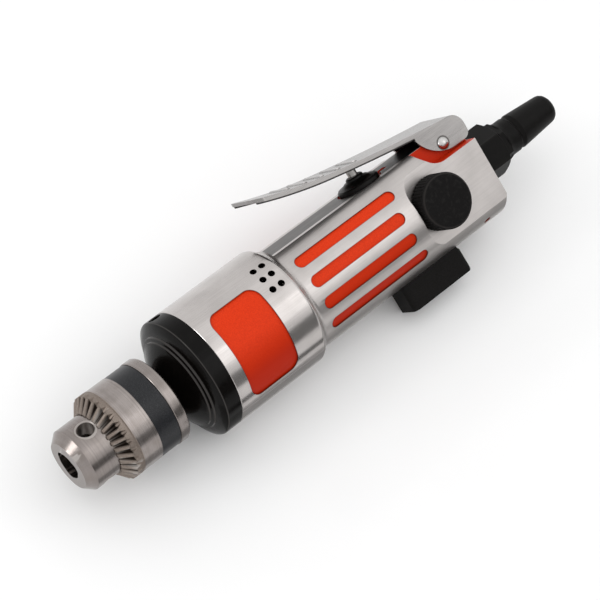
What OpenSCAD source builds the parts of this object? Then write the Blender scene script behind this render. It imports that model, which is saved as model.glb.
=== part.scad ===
// Reversible air drill with a lever throttle and a keyed 10 mm chuck.
// X runs along the spindle from the chuck's nose face to the air inlet,
// -Y is the side with the reversing knob and +Z is the lever side.
// All lengths are in millimetres and all angles in degrees.

/* [Fits] */
// Radial gap of a shaft that turns in a bore
run_gap = 0.03; // [0.02:0.01:0.08]
// Radial gap between pieces that are pressed or screwed together
seat_gap = 0.02; // [0.01:0.01:0.05]
// Gap between faces that pass each other
face_gap = 0.3; // [0.2:0.05:0.5]

/* [Chuck] */
// Largest drill shank that the jaws take
shank_d = 10; // [8:0.5:11]
// Radius of the bore above the shank
shank_clearance = 0.1; // [0.05:0.05:0.2]
// Radius of the nose face
nose_face_r = 9.4; // [8.8:0.1:10.5]
// Radius of the nose behind its cone
nose_r = 12.25; // [11.8:0.05:12.6]
// Length of the nose cone
nose_cone = 3.3; // [2:0.1:5]
// Length from the nose face to the first teeth
nose_len = 13; // [12.6:0.1:13.6]
// Radius of the sleeve
sleeve_r = 17; // [16.6:0.1:18]
// Length of the sleeve, teeth included
sleeve_len = 23.4; // [23:0.1:23.8]
// Number of teeth for the chuck key
key_teeth = 30; // [24:1:34]
// Length of the toothed cone along the axis
tooth_cone = 3.4; // [2.8:0.1:4]
// Depth of a tooth space at its outer end
tooth_depth = 1.6; // [1.2:0.1:1.7]
// Length of the dark size band at the back of the sleeve
band_len = 8.3; // [5:0.1:10]
// Depth of the dark band below the sleeve
band_depth = 0.15; // [0.1:0.05:0.3]
// Length of the flange behind the sleeve
flange_len = 4.5; // [3.5:0.1:6]
// Radius of the pilot holes for the chuck key
pilot_r = 3.1; // [2.7:0.1:3.2]
// Distance of the pilot holes from the nose face
pilot_x = 9.6; // [9.2:0.1:9.6]
// Angle between a jaw and the spindle axis
jaw_angle = 14; // [13:0.5:14.5]
// Radius of a jaw
jaw_r = 3.05; // [2.8:0.05:3.1]
// Width of the split nut that drives the jaws
split_nut_w = 6.2; // [5:0.1:6.6]
// Length of a jaw
jaw_len = 20.5; // [18:0.5:20.5]
// Smallest opening between closed jaws
jaw_closed_d = 1; // [0.8:0.1:2]
// Pitch of the teeth on the jaws
jaw_pitch = 1.8; // [1.5:0.1:2]
// Radius of the threaded socket behind the chuck
socket_r = 4.76; // [4.5:0.02:4.9]

/* [Gear train] */
// Wall of the ring gear outside its teeth
ring_wall = 2.61; // [2.4:0.01:3.2]
// Teeth of the sun pinion on the rotor
sun_teeth = 9; // [9:3:12]
// Teeth of each planet gear
planet_teeth = 18; // [15:3:18]
// Pressure angle of the teeth
gear_pa = 25; // [24:0.5:26]
// Thinning of each tooth for backlash
backlash = 0.08; // [0.06:0.01:0.12]
// Face width of the planet gears
gear_w = 8; // [6:0.5:8.5]
// Radius of the planet pins
planet_pin_r = 2; // [1.5:0.1:2.5]

/* [Clamp nut and barrel] */
// Outer radius of the barrel
barrel_r = 24; // [23.6:0.1:25]
// Length of the barrel from the clamp nut to the shoulder
barrel_len = 39; // [38.8:0.1:40]
// Wall of the barrel round the gears
barrel_wall = 2.55; // [2.3:0.05:2.6]
// Length of the clamp nut in front of the barrel
nut_len = 14.7; // [14:0.1:17]
// Wall of the clamp nut's spigot round the rear bearing
spigot_wall = 3.95; // [3.6:0.05:4.4]
// Width of the visible cylinder of the clamp nut
nut_rim = 6.1; // [5:0.1:6.5]
// Radius of the spanner hole in the clamp nut
spanner_r = 2.4; // [1.8:0.1:2.6]
// Radius of the spindle behind the chuck
neck_r = 8.2; // [7.6:0.1:8.6]

/* [Handle] */
// Radius of the handle
handle_r = 21.3; // [21:0.1:22]
// Length of the housing behind the lever pin
tail_len = 9.8; // [9.4:0.1:12]
// Height of the flat under the lever
flat_z = 18.7; // [18.5:0.1:19]
// Distance of the side flats from the axis
side_flat_y = 15.5; // [15.2:0.1:16]
// Radius of the motor bore
motor_r = 16.4; // [16.2:0.1:16.5]
// Depth of the painted recesses
recess = 0.6; // [0.4:0.1:0.8]
// Width of the painted grooves
groove_w = 4.7; // [4:0.1:5.2]
// Angle between the painted grooves
groove_pitch = 24.4; // [22:0.2:25]
// Length of the two middle grooves, ends included
groove_len = 44.8; // [40:0.1:46]
// Extra length of the two outer grooves
groove_extra = 2.7; // [0:0.1:3]
// Length of the bare recess on the barrel
label_len = 21.7; // [18:0.1:24]
// Half height of the bare recess on the barrel
label_half = 16.5; // [12:0.1:17]
// Radius of the vent holes
vent_r = 1.3; // [1:0.1:1.5]

/* [Air motor] */
// Length of the motor cylinder
cylinder_len = 29.8; // [29.2:0.1:29.9]
// Radius of the cylinder's bore
cylinder_bore = 13.2; // [12.8:0.1:13.3]
// Offset of the bore from the rotor axis
eccentric = 1.5; // [1.2:0.1:1.6]
// Gap between the rotor and the bore at their nearest
rotor_gap = 0.15; // [0.1:0.05:0.25]
// Number of vanes
vane_count = 5; // [4:1:6]
// Thickness of a vane
vane_t = 1.5; // [1.2:0.1:1.8]
// Height of a vane
vane_h = 5.4; // [4.5:0.1:5.6]

/* [Throttle] */
// Distance of the throttle valve behind the motor
valve_at = 8.1; // [8:0.1:10]
// Radius of the valve stem
stem_r = 1.9; // [1.6:0.1:2.1]
// Radius of the bushing's flange
bushing_r = 8.4; // [7.6:0.1:8.8]
// Radius of the valve ball
ball_r = 4.2; // [3.9:0.1:4.3]
// Wire radius of the throttle spring
spring_wire_r = 0.35; // [0.3:0.01:0.4]
// Curls of the throttle spring
spring_turns = 5.5; // [4.5:0.5:6]

/* [Lever] */
// Width of the lever
lever_w = 21; // [20.6:0.1:22]
// Thickness of the lever's sheet
lever_t = 1.4; // [1.2:0.1:1.5]
// Depth of the lever's turned-down edges
lever_edge = 2.2; // [1.8:0.1:2.6]
// Distance of the lever pin behind the knob
pin_at = 18; // [17.5:0.1:20]
// Height of the lever pin above the axis
pin_z = 15.2; // [15:0.1:15.4]
// Radius of the lever pin
pin_r = 1.75; // [1.4:0.05:1.9]
// Reach of the lever from its pin to its tip
lever_reach = 78.4; // [70:0.1:82]
// Number of pressed ridges on the lever
ridge_count = 5; // [3:1:6]
// Distance between the ridges
ridge_pitch = 7.2; // [5:0.1:7.5]

/* [Reversing knob] */
// Distance of the knob behind the throttle valve
knob_at = 15.6; // [15:0.1:17]
// Radius of the knob
knob_r = 10.5; // [9.8:0.1:10.6]
// Thickness of the knob
knob_t = 8.7; // [7:0.1:9.5]
// Radius of the reversing valve
spool_r = 5.2; // [4.8:0.1:5.4]
// Number of grooves round the knob's edge
knob_grooves = 48; // [36:2:60]

/* [Exhaust] */
// Length of the exhaust deflector
deflector_len = 29.5; // [29:0.1:30]
// Width of the exhaust deflector
deflector_w = 12.8; // [12.4:0.1:14]
// Height of the deflector below the handle
deflector_h = 9.7; // [8.5:0.1:12]
// Wall of the exhaust deflector
deflector_wall = 1.6; // [1.3:0.1:1.8]

/* [Air inlet] */
// Size of the inlet bushing's hexagon across flats
inlet_af = 19; // [18:0.5:20]
// Length of the inlet bushing's hexagon
inlet_hex = 13.6; // [12:0.1:15]
// Radius of the inlet thread in the housing
inlet_r = 6.5; // [6.2:0.1:6.6]
// Size of the plug's hexagon across flats
plug_af = 15; // [14:0.5:16]
// Radius of the plug's collar
plug_r = 7.2; // [6.9:0.1:7.4]
// Radius of the bore through the plug
plug_bore = 3.75; // [3:0.05:4.2]

/* [Hidden] */
$fn = 72;
steel = [0.72, 0.71, 0.69];
dark_steel = [0.10, 0.10, 0.11];
aluminium = [0.80, 0.80, 0.80];
black = [0.05, 0.05, 0.055];
rubber = [0.03, 0.03, 0.03];
brass = [0.75, 0.62, 0.32];
eps = 0.01;

// Chuck
shank_r = shank_d / 2 + shank_clearance;
sleeve_back = nose_len + sleeve_len;
chuck_len = sleeve_back + 0.2 + flange_len;
jaw_bore_r = jaw_r + 0.1;
jaw_open = (shank_r + 0.02 - jaw_closed_d / 2) / sin(jaw_angle);
jaw_tip_x = -2;
jaw_rho = 2.5;
jaw_angles = [-16, 104, 224];
pilot_angles = [44, 164, 284];
nut_x0 = nose_len + 6.8;
nut_x1 = nut_x0 + split_nut_w;
jaw_end = jaw_tip_x + jaw_len + jaw_open;
tooth_front = 0.7;
tooth_root = 0.7;
core_r = sleeve_r - 2;
sleeve_bore = sleeve_r - 1.45;
socket_x = nut_x1;
key_pitch = 360 / key_teeth;
function jaw_back(x) = jaw_rho + x * tan(jaw_angle) + jaw_r / cos(jaw_angle);

// Clamp nut and barrel
nut_gap = 2.7;
nut_front = chuck_len + nut_gap;
nut_back = nut_front + nut_len;
barrel_back = nut_back + barrel_len;
barrel_bore = barrel_r - barrel_wall;
shoulder_len = 4.3;

// Spindle bearings, as inner radius, outer radius and width
rear_brg = [8.5, barrel_bore - spigot_wall, 10];
front_brg = [6, rear_brg[1] - 3.5, 8];
front_brg_x = nut_front + 4.2;
rear_brg_x = front_brg_x + front_brg[2] + 1.2;
nut_spigot = 9;

// Gear train
ring_teeth = sun_teeth + 2 * planet_teeth;
gear_m = (barrel_bore - ring_wall) / (ring_teeth / 2 + 1.05);
centre_r = gear_m * (sun_teeth + planet_teeth) / 2;
addendum = 0.8 * gear_m;
dedendum = 1.05 * gear_m;
carrier_x = rear_brg_x + rear_brg[2] + 0.6;
cheek = 3.5;
planet_x = carrier_x + cheek + 0.3;
carrier_end = planet_x + gear_w + 0.3 + 3;
carrier_r = gear_m * ring_teeth / 2 - addendum - 0.7;
ring_x = nut_back + nut_spigot;
bush_r = planet_pin_r + 1.2;
planet_angles = [0, 120, 240];

// Air motor
plate_flange = 1.6;
plate_x = barrel_back - plate_flange;
rotor_brg = [4.5, 12, 7];
tail_brg = [3, 9.5, 6];
front_plate_len = 7.5;
cylinder_x = barrel_back + front_plate_len;
cylinder_end = cylinder_x + cylinder_len;
tail_plate_len = 6.8;
tail_plate_end = cylinder_end + tail_plate_len;
gasket_t = 0.7;
motor_end = tail_plate_end + gasket_t;
rotor_r = cylinder_bore - eccentric - rotor_gap;
rotor_x = cylinder_x + 0.1;
rotor_end = cylinder_end - 0.1;
dowel_r = 1.25;
dowel_z = (cylinder_bore - eccentric + motor_r) / 2;
duct_y = 12.5;
duct_r = 1.8;

// Stations of the valve block
valve_x = motor_end + valve_at;
knob_x = valve_x + knob_at;
pin_x = knob_x + pin_at;
house_back = pin_x + tail_len;

// Throttle valve
bush_seat_z = flat_z - 0.7;
bush_shank_r = 6.4;
bush_tube_r = 4.9;
bush_step_z = 7;
seat_z = 2.2;
bush_flange = 2.4;
bush_cone = 3.6;
bush_boss = 5;
bush_guide = 8.5;
bush_ring_z = bush_seat_z - 2.3;
ring_cord_r = 0.44;
seat_r = ball_r - 1;
ball_z = seat_z - sqrt(ball_r * ball_r - seat_r * seat_r) - 0.02;
valve_floor_z = -13;
spring_r = 3.3;
spring_top = ball_z - ball_r * 0.72;
spring_len = spring_top - valve_floor_z - 0.05;

// Lever
pocket_y = lever_w / 2 - lever_t - face_gap;
pocket_z = pin_z - 4.5;
pocket_r = 9;
lever_gap = 0.8;
lever_back = house_back + lever_gap + lever_t;
lever_tip_x = pin_x - lever_reach;
lever_bend = 5.5;
lever_end_x = lever_back - lever_bend;
lever_end_z = pin_z + 7.15;
lever_slope = 0.125;
lever_curve = 760;
knee_x = pin_x - 47;
knee_curve = 180;
knee_run = lever_end_x - knee_x;
knee_z = lever_end_z + lever_slope * knee_run + knee_run * knee_run / (2 * lever_curve);
knee_slope = lever_slope + knee_run / lever_curve;
ridge_x0 = lever_tip_x + 15.8;
ear_r = 15;
ear_x = pin_x + 4.5;
ear_z = pin_z - 3.7;
ear_corner = 3;
function lever_z(x) = x > knee_x
    ? lever_end_z + lever_slope * (lever_end_x - x) + pow(lever_end_x - x, 2) / (2 * lever_curve)
    : knee_z + knee_slope * (knee_x - x) + pow(knee_x - x, 2) / (2 * knee_curve);
function lever_rise(x) = lever_slope + (lever_end_x - x) / lever_curve;
stem_top = lever_z(valve_x) - (lever_t + stem_r + 0.08) / cos(atan(lever_rise(valve_x))) + stem_r;

// Reversing valve
spool_y = side_flat_y + 0.3;
knob_back_y = side_flat_y + face_gap;
pocket_front = knob_x - knob_r - 0.9;
pocket_corner = 9;
detent_z = 8;
detent_r = 1.5;
detent_y = -knob_back_y + detent_r - 0.45;
detent_floor = side_flat_y - 7;
spool_ring_y = [0.65 - side_flat_y, side_flat_y - 0.65];
spool_cut = duct_y + duct_r - 0.1;
neck_end_r = 3.5;
washer_r = spool_r + 1.7;
washer_t = 1;

// Exhaust
deflector_z = handle_r + deflector_h;
deflector_roof = 1.7;
deflector_x = motor_end - 1.3;
deflector_end = deflector_x + deflector_len;
port_x = [deflector_x + 6.5, deflector_x + 20];
groove_z = motor_r + 2.4;
screw_top_z = handle_r - 6;
felt_x = [deflector_x + 3, deflector_x + 18];
screw_x = deflector_end - 4.6;

// Air inlet
inlet_hex_end = house_back + inlet_hex;
inlet_depth = 13;
plug_x = inlet_hex_end;
plug_hex = 3.6;
plug_taper = 1.8;
collar_len = 3.5;
collar_back = plug_x + plug_hex + plug_taper + collar_len;
neck_depth = 0.9;
bulb_x = collar_back + 2.6;
bulb_len = 18.3;
bulb_taper = 1.25;
plug_end = bulb_x + bulb_len;
inlet_duct_z = -9.6;
plug_thread_r = 5;

// A solid turned about the X axis from [x, radius] points
module turned(points) {
    rotate([0, 90, 0]) rotate_extrude()
        polygon([for (p = points) [p[1], p[0]]]);
}

// A cylinder along X between two stations
module xcyl(x0, x1, r) {
    translate([x0, 0, 0]) rotate([0, 90, 0]) cylinder(h = x1 - x0, r = r);
}

// A tube along X between two stations
module xtube(x0, x1, r_out, r_in) {
    difference() {
        xcyl(x0, x1, r_out);
        xcyl(x0 - 1, x1 + 1, r_in);
    }
}

// A cylinder along Y between two stations
module ycyl(y0, y1, r) {
    translate([0, y0, 0]) rotate([-90, 0, 0]) cylinder(h = y1 - y0, r = r);
}

// A flat outline drawn in X and Z, as thick as t and centred on Y
module side_plate(t) {
    translate([0, t / 2, 0]) rotate([90, 0, 0]) linear_extrude(t) children();
}

// Points of an arc as [x, y]
function arc(cx, cy, r, a0, a1, n) =
    [for (i = [0:n]) [cx + r * cos(a0 + (a1 - a0) * i / n),
        cy + r * sin(a0 + (a1 - a0) * i / n)]];

// Involute function in degrees
function inv(a) = tan(a) * 180 / PI - a;

// Half the angle of a tooth at radius r
function half_tooth(r, z, m, thin) =
    let (rp = z * m / 2, rb = rp * cos(gear_pa))
    90 / z - thin / (2 * rp) * 180 / PI + inv(gear_pa) - inv(acos(rb / max(r, rb)));

// Outline of a spur gear with a tooth centred on the +X axis
function gear_points(z, m, up, down, thin, steps) =
    let (rp = z * m / 2, rb = rp * cos(gear_pa), r0 = rp - down,
        r1 = max(rb, r0), r2 = rp + up)
    [for (k = [0:z - 1]) let (a = k * 360 / z) each concat(
        [r0 * [cos(a - half_tooth(r1, z, m, thin)), sin(a - half_tooth(r1, z, m, thin))]],
        [for (i = [0:steps]) let (r = r1 + (r2 - r1) * i / steps, h = half_tooth(r, z, m, thin))
            r * [cos(a - h), sin(a - h)]],
        [for (i = [steps:-1:0]) let (r = r1 + (r2 - r1) * i / steps, h = half_tooth(r, z, m, thin))
            r * [cos(a + h), sin(a + h)]],
        [r0 * [cos(a + half_tooth(r1, z, m, thin)), sin(a + half_tooth(r1, z, m, thin))]])];

// Turns a flat outline into a solid along X, its +X edge pointing up
module along_x(x0, len) {
    translate([x0, 0, 0]) rotate([0, 90, 0]) rotate([0, 0, 180]) linear_extrude(len) children();
}

// Deep groove ball bearing along X
module ball_bearing(x0, brg, balls) {
    ri = brg[0];
    ro = brg[1];
    w = brg[2];
    mid = (ri + ro) / 2;
    br = (ro - ri) * 0.28;
    lip = (ro - ri) * 0.17;
    race = br + seat_gap;
    xm = x0 + w / 2;
    difference() {
        union() {
            xtube(x0, x0 + w, ri + (mid - lip - ri), ri);
            xtube(x0, x0 + w, ro - seat_gap, mid + lip);
        }
        translate([xm, 0, 0]) rotate([0, 90, 0]) rotate_extrude()
            translate([mid, 0]) circle(r = race);
    }
    for (i = [0:balls - 1]) rotate([i * 360 / balls, 0, 0])
        translate([xm, 0, mid]) sphere(r = br);
}

// Unbroken tube along a list of points, with n sides and flat ends
module tube(points, r, n) {
    count = len(points);
    function dir(i) = let (a = points[max(i - 1, 0)], b = points[min(i + 1, count - 1)])
        (b - a) / norm(b - a);
    rings = [for (i = [0:count - 1]) let (d = dir(i), s = cross(d, [0.05, 0.02, 1]),
        u = s / norm(s), v = cross(d, u))
        for (k = [0:n - 1]) points[i] + r * (cos(360 * k / n) * u + sin(360 * k / n) * v)];
    sides = [for (i = [0:count - 2]) for (k = [0:n - 1]) let (k1 = (k + 1) % n)
        each [[i * n + k, i * n + k1, (i + 1) * n + k1], [i * n + k, (i + 1) * n + k1, (i + 1) * n + k]]];
    caps = [for (k = [1:n - 2]) each [[0, k + 1, k],
        [(count - 1) * n, (count - 1) * n + k, (count - 1) * n + k + 1]]];
    polyhedron(points = rings, faces = concat(sides, caps));
}

// Points of a coil about Z from z = 0 up
function coil(r, turns, len) =
    [for (i = [0:8 * turns]) [r * cos(45 * i), r * sin(45 * i), len * i / (8 * turns)]];

// Least gap between neighbouring curls of a coil, measured on its points
function coil_gap(points, wire) =
    min([for (i = [0:len(points) - 9]) norm(points[i + 8] - points[i]) - 2 * wire]);

// Rectangle with round corners, from its centre
module round_rect(w, h, r) {
    square([w - 2 * r, h], center = true);
    square([w, h - 2 * r], center = true);
    for (i = [-1, 1], j = [-1, 1])
        translate([i * (w / 2 - r), j * (h / 2 - r)]) circle(r = r);
}

// Hexagonal bar along X with a corner up and its ends turned round
module hex_bar(x0, x1, af) {
    rc = af / sqrt(3);
    ri = af / 2 - 0.2;
    c = (rc - ri) * 0.6;
    intersection() {
        along_x(x0, x1 - x0) circle(r = rc, $fn = 6);
        turned([[x0, 0], [x0, ri], [x0 + c, rc], [x1 - c, rc], [x1, ri], [x1, 0]]);
    }
}

// One painted groove on the handle, cut to an even depth
module groove(psi, x0, len) {
    intersection() {
        rotate([psi, 0, 0]) translate([x0 + len / 2, 0, handle_r - 3]) linear_extrude(6)
            round_rect(len, groove_w, groove_w / 2 - eps);
        xtube(x0 - 1, x0 + len + 1, handle_r + 2, handle_r - recess);
    }
}

module grooves() {
    for (side = [-1, 1], i = [0:3]) {
        outer = i == 0 || i == 3;
        psi = (i - 1.5) * groove_pitch;
        groove(side * (psi - 90), barrel_back + 6.9, groove_len + (outer ? groove_extra : 0));
    }
}

// Bare recess with round corners on the knob side of the barrel
module label_recess() {
    intersection() {
        translate([nut_back + 5.4 + label_len / 2, 0, 0]) rotate([90, 0, 0])
            linear_extrude(barrel_r + 2) round_rect(label_len, 2 * label_half, 4);
        xtube(nut_back + 1, barrel_back, barrel_r + 2, barrel_r - recess);
    }
}

module vents() {
    for (psi = [29.1, 41.5, 53.8], dx = [0, 4])
        rotate([90 - psi, 0, 0]) translate([barrel_back - 7.2 + dx, 0, barrel_r - 4])
            cylinder(h = 6, r = vent_r, $fn = 24);
}

// Outline in X and Z of the flat on each side of the valve block
module side_flat() {
    half = sqrt(handle_r * handle_r - side_flat_y * side_flat_y) + 0.4;
    run = house_back - pocket_front + 2;
    translate([pocket_front, -(half - pocket_corner)]) square([run, 2 * (half - pocket_corner)]);
    translate([pocket_front + pocket_corner, -half]) square([run, 2 * half]);
    for (i = [-1, 1])
        translate([pocket_front + pocket_corner, i * (half - pocket_corner)]) circle(r = pocket_corner);
}

// Outline in X and Z of the pocket that takes an ear of the lever
module ear_pocket() {
    cx = pin_x - 5.5;
    translate([cx, pocket_z]) square([40, 20]);
    translate([cx - pocket_r, pocket_z + pocket_r]) square([40, 20]);
    translate([cx, pocket_z + pocket_r]) circle(r = pocket_r);
}

module side_cut(y0, depth) {
    for (side = [-1, 1])
        translate([0, side > 0 ? y0 + depth : -y0, 0]) rotate([90, 0, 0]) linear_extrude(depth)
            children();
}

module air_ways() {
    translate([0, 0, 4]) xcyl(valve_x, knob_x - 2, 1.5);
    for (i = [-1, 1]) translate([0, i * duct_y, 0]) xcyl(motor_end - eps, knob_x, duct_r);
    translate([0, 0, inlet_duct_z]) xcyl(valve_x, house_back - inlet_depth, 2.2);
    translate([house_back - inlet_depth - 2.8, -2.2, inlet_duct_z - 2.2]) cube([4.8, 4.4, 11.8]);
    translate([cylinder_x + 4, -4.5, -groove_z]) cube([port_x[0] - cylinder_x, 9, 3.5]);
    translate([port_x[0], -4, -handle_r - 1]) cube([port_x[1] - port_x[0], 8, handle_r - groove_z + 3.7]);
}

module housing() {
    r1 = barrel_r - 2;
    r2 = handle_r + 3;
    x1 = barrel_back - 0.2;
    x2 = barrel_back + shoulder_len;
    color(aluminium) difference() {
        turned(concat(
            [[nut_back, 0], [nut_back, barrel_r - 0.3], [nut_back + 0.3, barrel_r]],
            arc(x1, r1, 2, 90, 30, 6), arc(x2, r2, 3, 210, 270, 6),
            [[house_back - 0.8, handle_r], [house_back, handle_r - 0.8], [house_back, 0]]));
        translate([x2, -handle_r, flat_z]) cube([house_back - x2 + 1, 2 * handle_r, 10]);
        side_cut(side_flat_y, 10) side_flat();
        side_cut(pocket_y, 20) ear_pocket();
        xcyl(nut_back - 1, barrel_back, barrel_bore + seat_gap);
        xcyl(barrel_back - 1, motor_end, motor_r + seat_gap);
        translate([valve_x, 0, bush_seat_z]) cylinder(h = 5, r = bushing_r + 0.9);
        translate([valve_x + bushing_r, -1.6, bush_seat_z]) cube([4.6, 3.2, 5]);
        translate([valve_x, 0, bush_step_z]) cylinder(h = 20, r = bush_shank_r + seat_gap);
        translate([valve_x, 0, valve_floor_z]) cylinder(h = 30, r = bush_tube_r + 0.1);
        xcyl(house_back - inlet_depth, house_back + 1, inlet_r);
        translate([knob_x, 0, 0]) ycyl(-30, 30, spool_r + run_gap);
        translate([knob_x, 0, detent_z]) ycyl(-side_flat_y - 1, -detent_floor, detent_r + 0.05);
        translate([pin_x, 0, pin_z]) ycyl(-20, 20, pin_r + seat_gap);
        air_ways();
        translate([screw_x, 0, -handle_r - 1]) cylinder(h = 7.5, r = 1.3);
        rotate([151, 0, 0]) translate([pin_x - 0.3, 0, handle_r - 1.2]) cylinder(h = 4, r = 1.5);
        grooves();
        label_recess();
        vents();
    }
}

module clamp_nut() {
    rim_x = nut_back - nut_rim;
    rr = barrel_r - 0.05;
    spigot = barrel_bore - 0.03;
    color(black) difference() {
        turned([[nut_front, 0], [nut_front, neck_r + 1.2], [rim_x - 4, rr - 7.3], [rim_x - 3.6, rr - 6.3],
            [rim_x - 3, rr - 6.1], [rim_x - 2.7, rr - 4.9], [rim_x - 2, rr - 4.6], [rim_x - 1.7, rr - 3.2],
            [rim_x - 0.6, rr - 1.1], [rim_x, rr - 0.2], [rim_x + 0.4, rr], [nut_back, rr],
            [nut_back, spigot], [ring_x, spigot], [ring_x, 0]]);
        xcyl(nut_front - 1, front_brg_x, neck_r + face_gap);
        xcyl(front_brg_x - eps, front_brg_x + front_brg[2], front_brg[1]);
        xcyl(front_brg_x, rear_brg_x, front_brg[1] - 1.5);
        xcyl(rear_brg_x, ring_x + 1, rear_brg[1]);
        translate([rim_x + 2.7, 0, barrel_r - 2.6]) cylinder(h = 5, r = spanner_r);
    }
}

module spindle_bearing_front() { color(steel) ball_bearing(front_brg_x, front_brg, 9); }
module spindle_bearing_rear() { color(steel) ball_bearing(rear_brg_x, rear_brg, 11); }
module rotor_bearing_front() { color(steel) ball_bearing(plate_x + 0.8, rotor_brg, 8); }
module rotor_bearing_rear() {
    color(steel) ball_bearing(tail_plate_end - tail_brg[2] - 0.1, tail_brg, 7);
}

module ring_gear() {
    phase = planet_teeth % 2 == 0 ? 180 / ring_teeth : 0;
    r_out = barrel_bore - 0.03;
    teeth_x0 = planet_x - 0.5;
    teeth_x1 = planet_x + gear_w + 0.5;
    color(steel) difference() {
        xcyl(ring_x, plate_x, r_out);
        along_x(ring_x - 1, plate_x - ring_x) rotate(phase)
            polygon(gear_points(ring_teeth, gear_m, dedendum, addendum, -backlash, 4));
        xcyl(ring_x - 1, teeth_x0, gear_m * ring_teeth / 2 + dedendum + 0.1);
        xcyl(teeth_x1, plate_x + 1, r_out - 2);
        rotate([90 - 41.5, 0, 0]) translate([barrel_back - 10, -8.5, 0]) cube([8, 17, barrel_r]);
    }
}

module dowel_hole(x0, x1) {
    translate([0, 0, dowel_z]) xcyl(x0, x1, dowel_r + seat_gap);
}

module front_end_plate() {
    color(steel) difference() {
        union() {
            xcyl(plate_x, barrel_back - eps, barrel_bore - 0.03);
            xcyl(plate_x + 1, cylinder_x, motor_r);
        }
        xcyl(plate_x - 1, plate_x + 0.8 + rotor_brg[2], rotor_brg[1]);
        xcyl(plate_x, cylinder_x + 1, rotor_brg[0] + 0.2);
        dowel_hole(cylinder_x - 4, cylinder_x + 1);
    }
}

module motor_cylinder() {
    color(steel) difference() {
        xcyl(cylinder_x, cylinder_end, motor_r);
        translate([0, 0, -eccentric]) xcyl(cylinder_x - 1, cylinder_end + 1, cylinder_bore);
        dowel_hole(cylinder_x - 1, cylinder_end + 1);
        for (i = [-2:2]) translate([cylinder_x + cylinder_len / 2 + i * 4.4 - 1, -4, -20]) cube([2, 8, 8]);
    }
}

module port_holes(x0, x1) {
    for (i = [-1, 1]) translate([0, i * duct_y, 0]) xcyl(x0, x1, duct_r);
}

module rear_end_plate() {
    color(steel) difference() {
        xcyl(cylinder_end, tail_plate_end, motor_r);
        xcyl(tail_plate_end - tail_brg[2] - 0.1, tail_plate_end + 1, tail_brg[1]);
        xcyl(cylinder_end - 1, tail_plate_end, tail_brg[0] + 0.2);
        dowel_hole(cylinder_end - 1, tail_plate_end + 1);
        port_holes(cylinder_end - 1, tail_plate_end + 1);
    }
}

module motor_gasket() {
    color(rubber) difference() {
        xcyl(tail_plate_end, motor_end, motor_r);
        xcyl(tail_plate_end - 1, motor_end + 1, tail_brg[1] - 0.5);
        port_holes(tail_plate_end - 1, motor_end + 1);
    }
}

module motor_dowel() {
    color(steel) translate([0, 0, dowel_z]) xcyl(cylinder_x - 3.9, tail_plate_end - 0.1, dowel_r);
}

module rotor() {
    pinion_end = planet_x + gear_w + 1;
    color(steel) difference() {
        union() {
            along_x(planet_x - 0.5, gear_w + 1.5 + eps)
                polygon(gear_points(sun_teeth, gear_m, addendum, dedendum, backlash, 4));
            xcyl(pinion_end, rotor_x + 1, rotor_brg[0] - run_gap);
            xcyl(rotor_x, rotor_end, rotor_r);
            xcyl(rotor_end - 1, tail_plate_end - 0.3, tail_brg[0] - run_gap);
        }
        for (i = [0:vane_count - 1]) rotate([i * 360 / vane_count, 0, 0])
            translate([rotor_x - 0.5, -vane_t / 2 - 0.05, rotor_r - vane_h - 0.3])
                cube([cylinder_len + 1, vane_t + 0.1, vane_h + 2]);
    }
}

module vanes() {
    color([0.45, 0.30, 0.18]) for (i = [0:vane_count - 1]) rotate([i * 360 / vane_count, 0, 0])
        translate([rotor_x + 0.1, -vane_t / 2, rotor_r - vane_h - 0.15])
            cube([rotor_end - rotor_x - 0.2, vane_t, vane_h]);
}

module spindle() {
    web_r = carrier_r;
    color(dark_steel) difference() {
        union() {
            turned([[socket_x + 1.6, 0], [socket_x + 1.6, socket_r - 0.5], [socket_x + 2.1, socket_r - 0.04],
                [chuck_len, socket_r - 0.04], [chuck_len, neck_r], [front_brg_x - 0.3, neck_r],
                [front_brg_x - 0.3, front_brg[0] - run_gap], [rear_brg_x - 0.3, front_brg[0] - run_gap],
                [rear_brg_x - 0.3, rear_brg[0] - run_gap], [carrier_x, rear_brg[0] - run_gap],
                [carrier_x, carrier_r], [carrier_x + cheek, carrier_r], [carrier_x + cheek, 0]]);
            xcyl(planet_x + gear_w + 0.3, carrier_end, carrier_r);
            intersection() {
                xtube(carrier_x + 1, carrier_end - 1, carrier_r, carrier_r - 3);
                for (a = planet_angles) rotate([a + 60, 0, 0])
                    translate([carrier_x, -3.4, 0]) cube([carrier_end - carrier_x, 6.8, 30]);
            }
        }
        xcyl(carrier_x + 1.2, carrier_end + 1, gear_m * sun_teeth / 2 + addendum + 0.9);
        for (a = planet_angles) rotate([a, 0, 0]) translate([0, 0, centre_r])
            xcyl(carrier_x + 0.6, carrier_end + 1, planet_pin_r + seat_gap);
        xcyl(0, chuck_len - 1, 2.55);
    }
}

module planet_pins() {
    color(steel) for (a = planet_angles) rotate([a, 0, 0]) translate([0, 0, centre_r])
        xcyl(carrier_x + 0.7, carrier_end - 0.1, planet_pin_r);
}

module planet_bushes() {
    color(brass) for (a = planet_angles) rotate([a, 0, 0]) translate([0, 0, centre_r])
        xtube(planet_x, planet_x + gear_w, bush_r, planet_pin_r + seat_gap);
}

module planet_gear(a) {
    color(steel) rotate([a, 0, 0]) translate([0, 0, centre_r]) difference() {
        along_x(planet_x, gear_w) rotate(180 + 180 / planet_teeth)
            polygon(gear_points(planet_teeth, gear_m, addendum, dedendum, backlash, 4));
        xcyl(planet_x - 1, planet_x + gear_w + 1, bush_r + run_gap);
    }
}

module planet_gear_1() { planet_gear(planet_angles[0]); }
module planet_gear_2() { planet_gear(planet_angles[1]); }
module planet_gear_3() { planet_gear(planet_angles[2]); }

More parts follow.
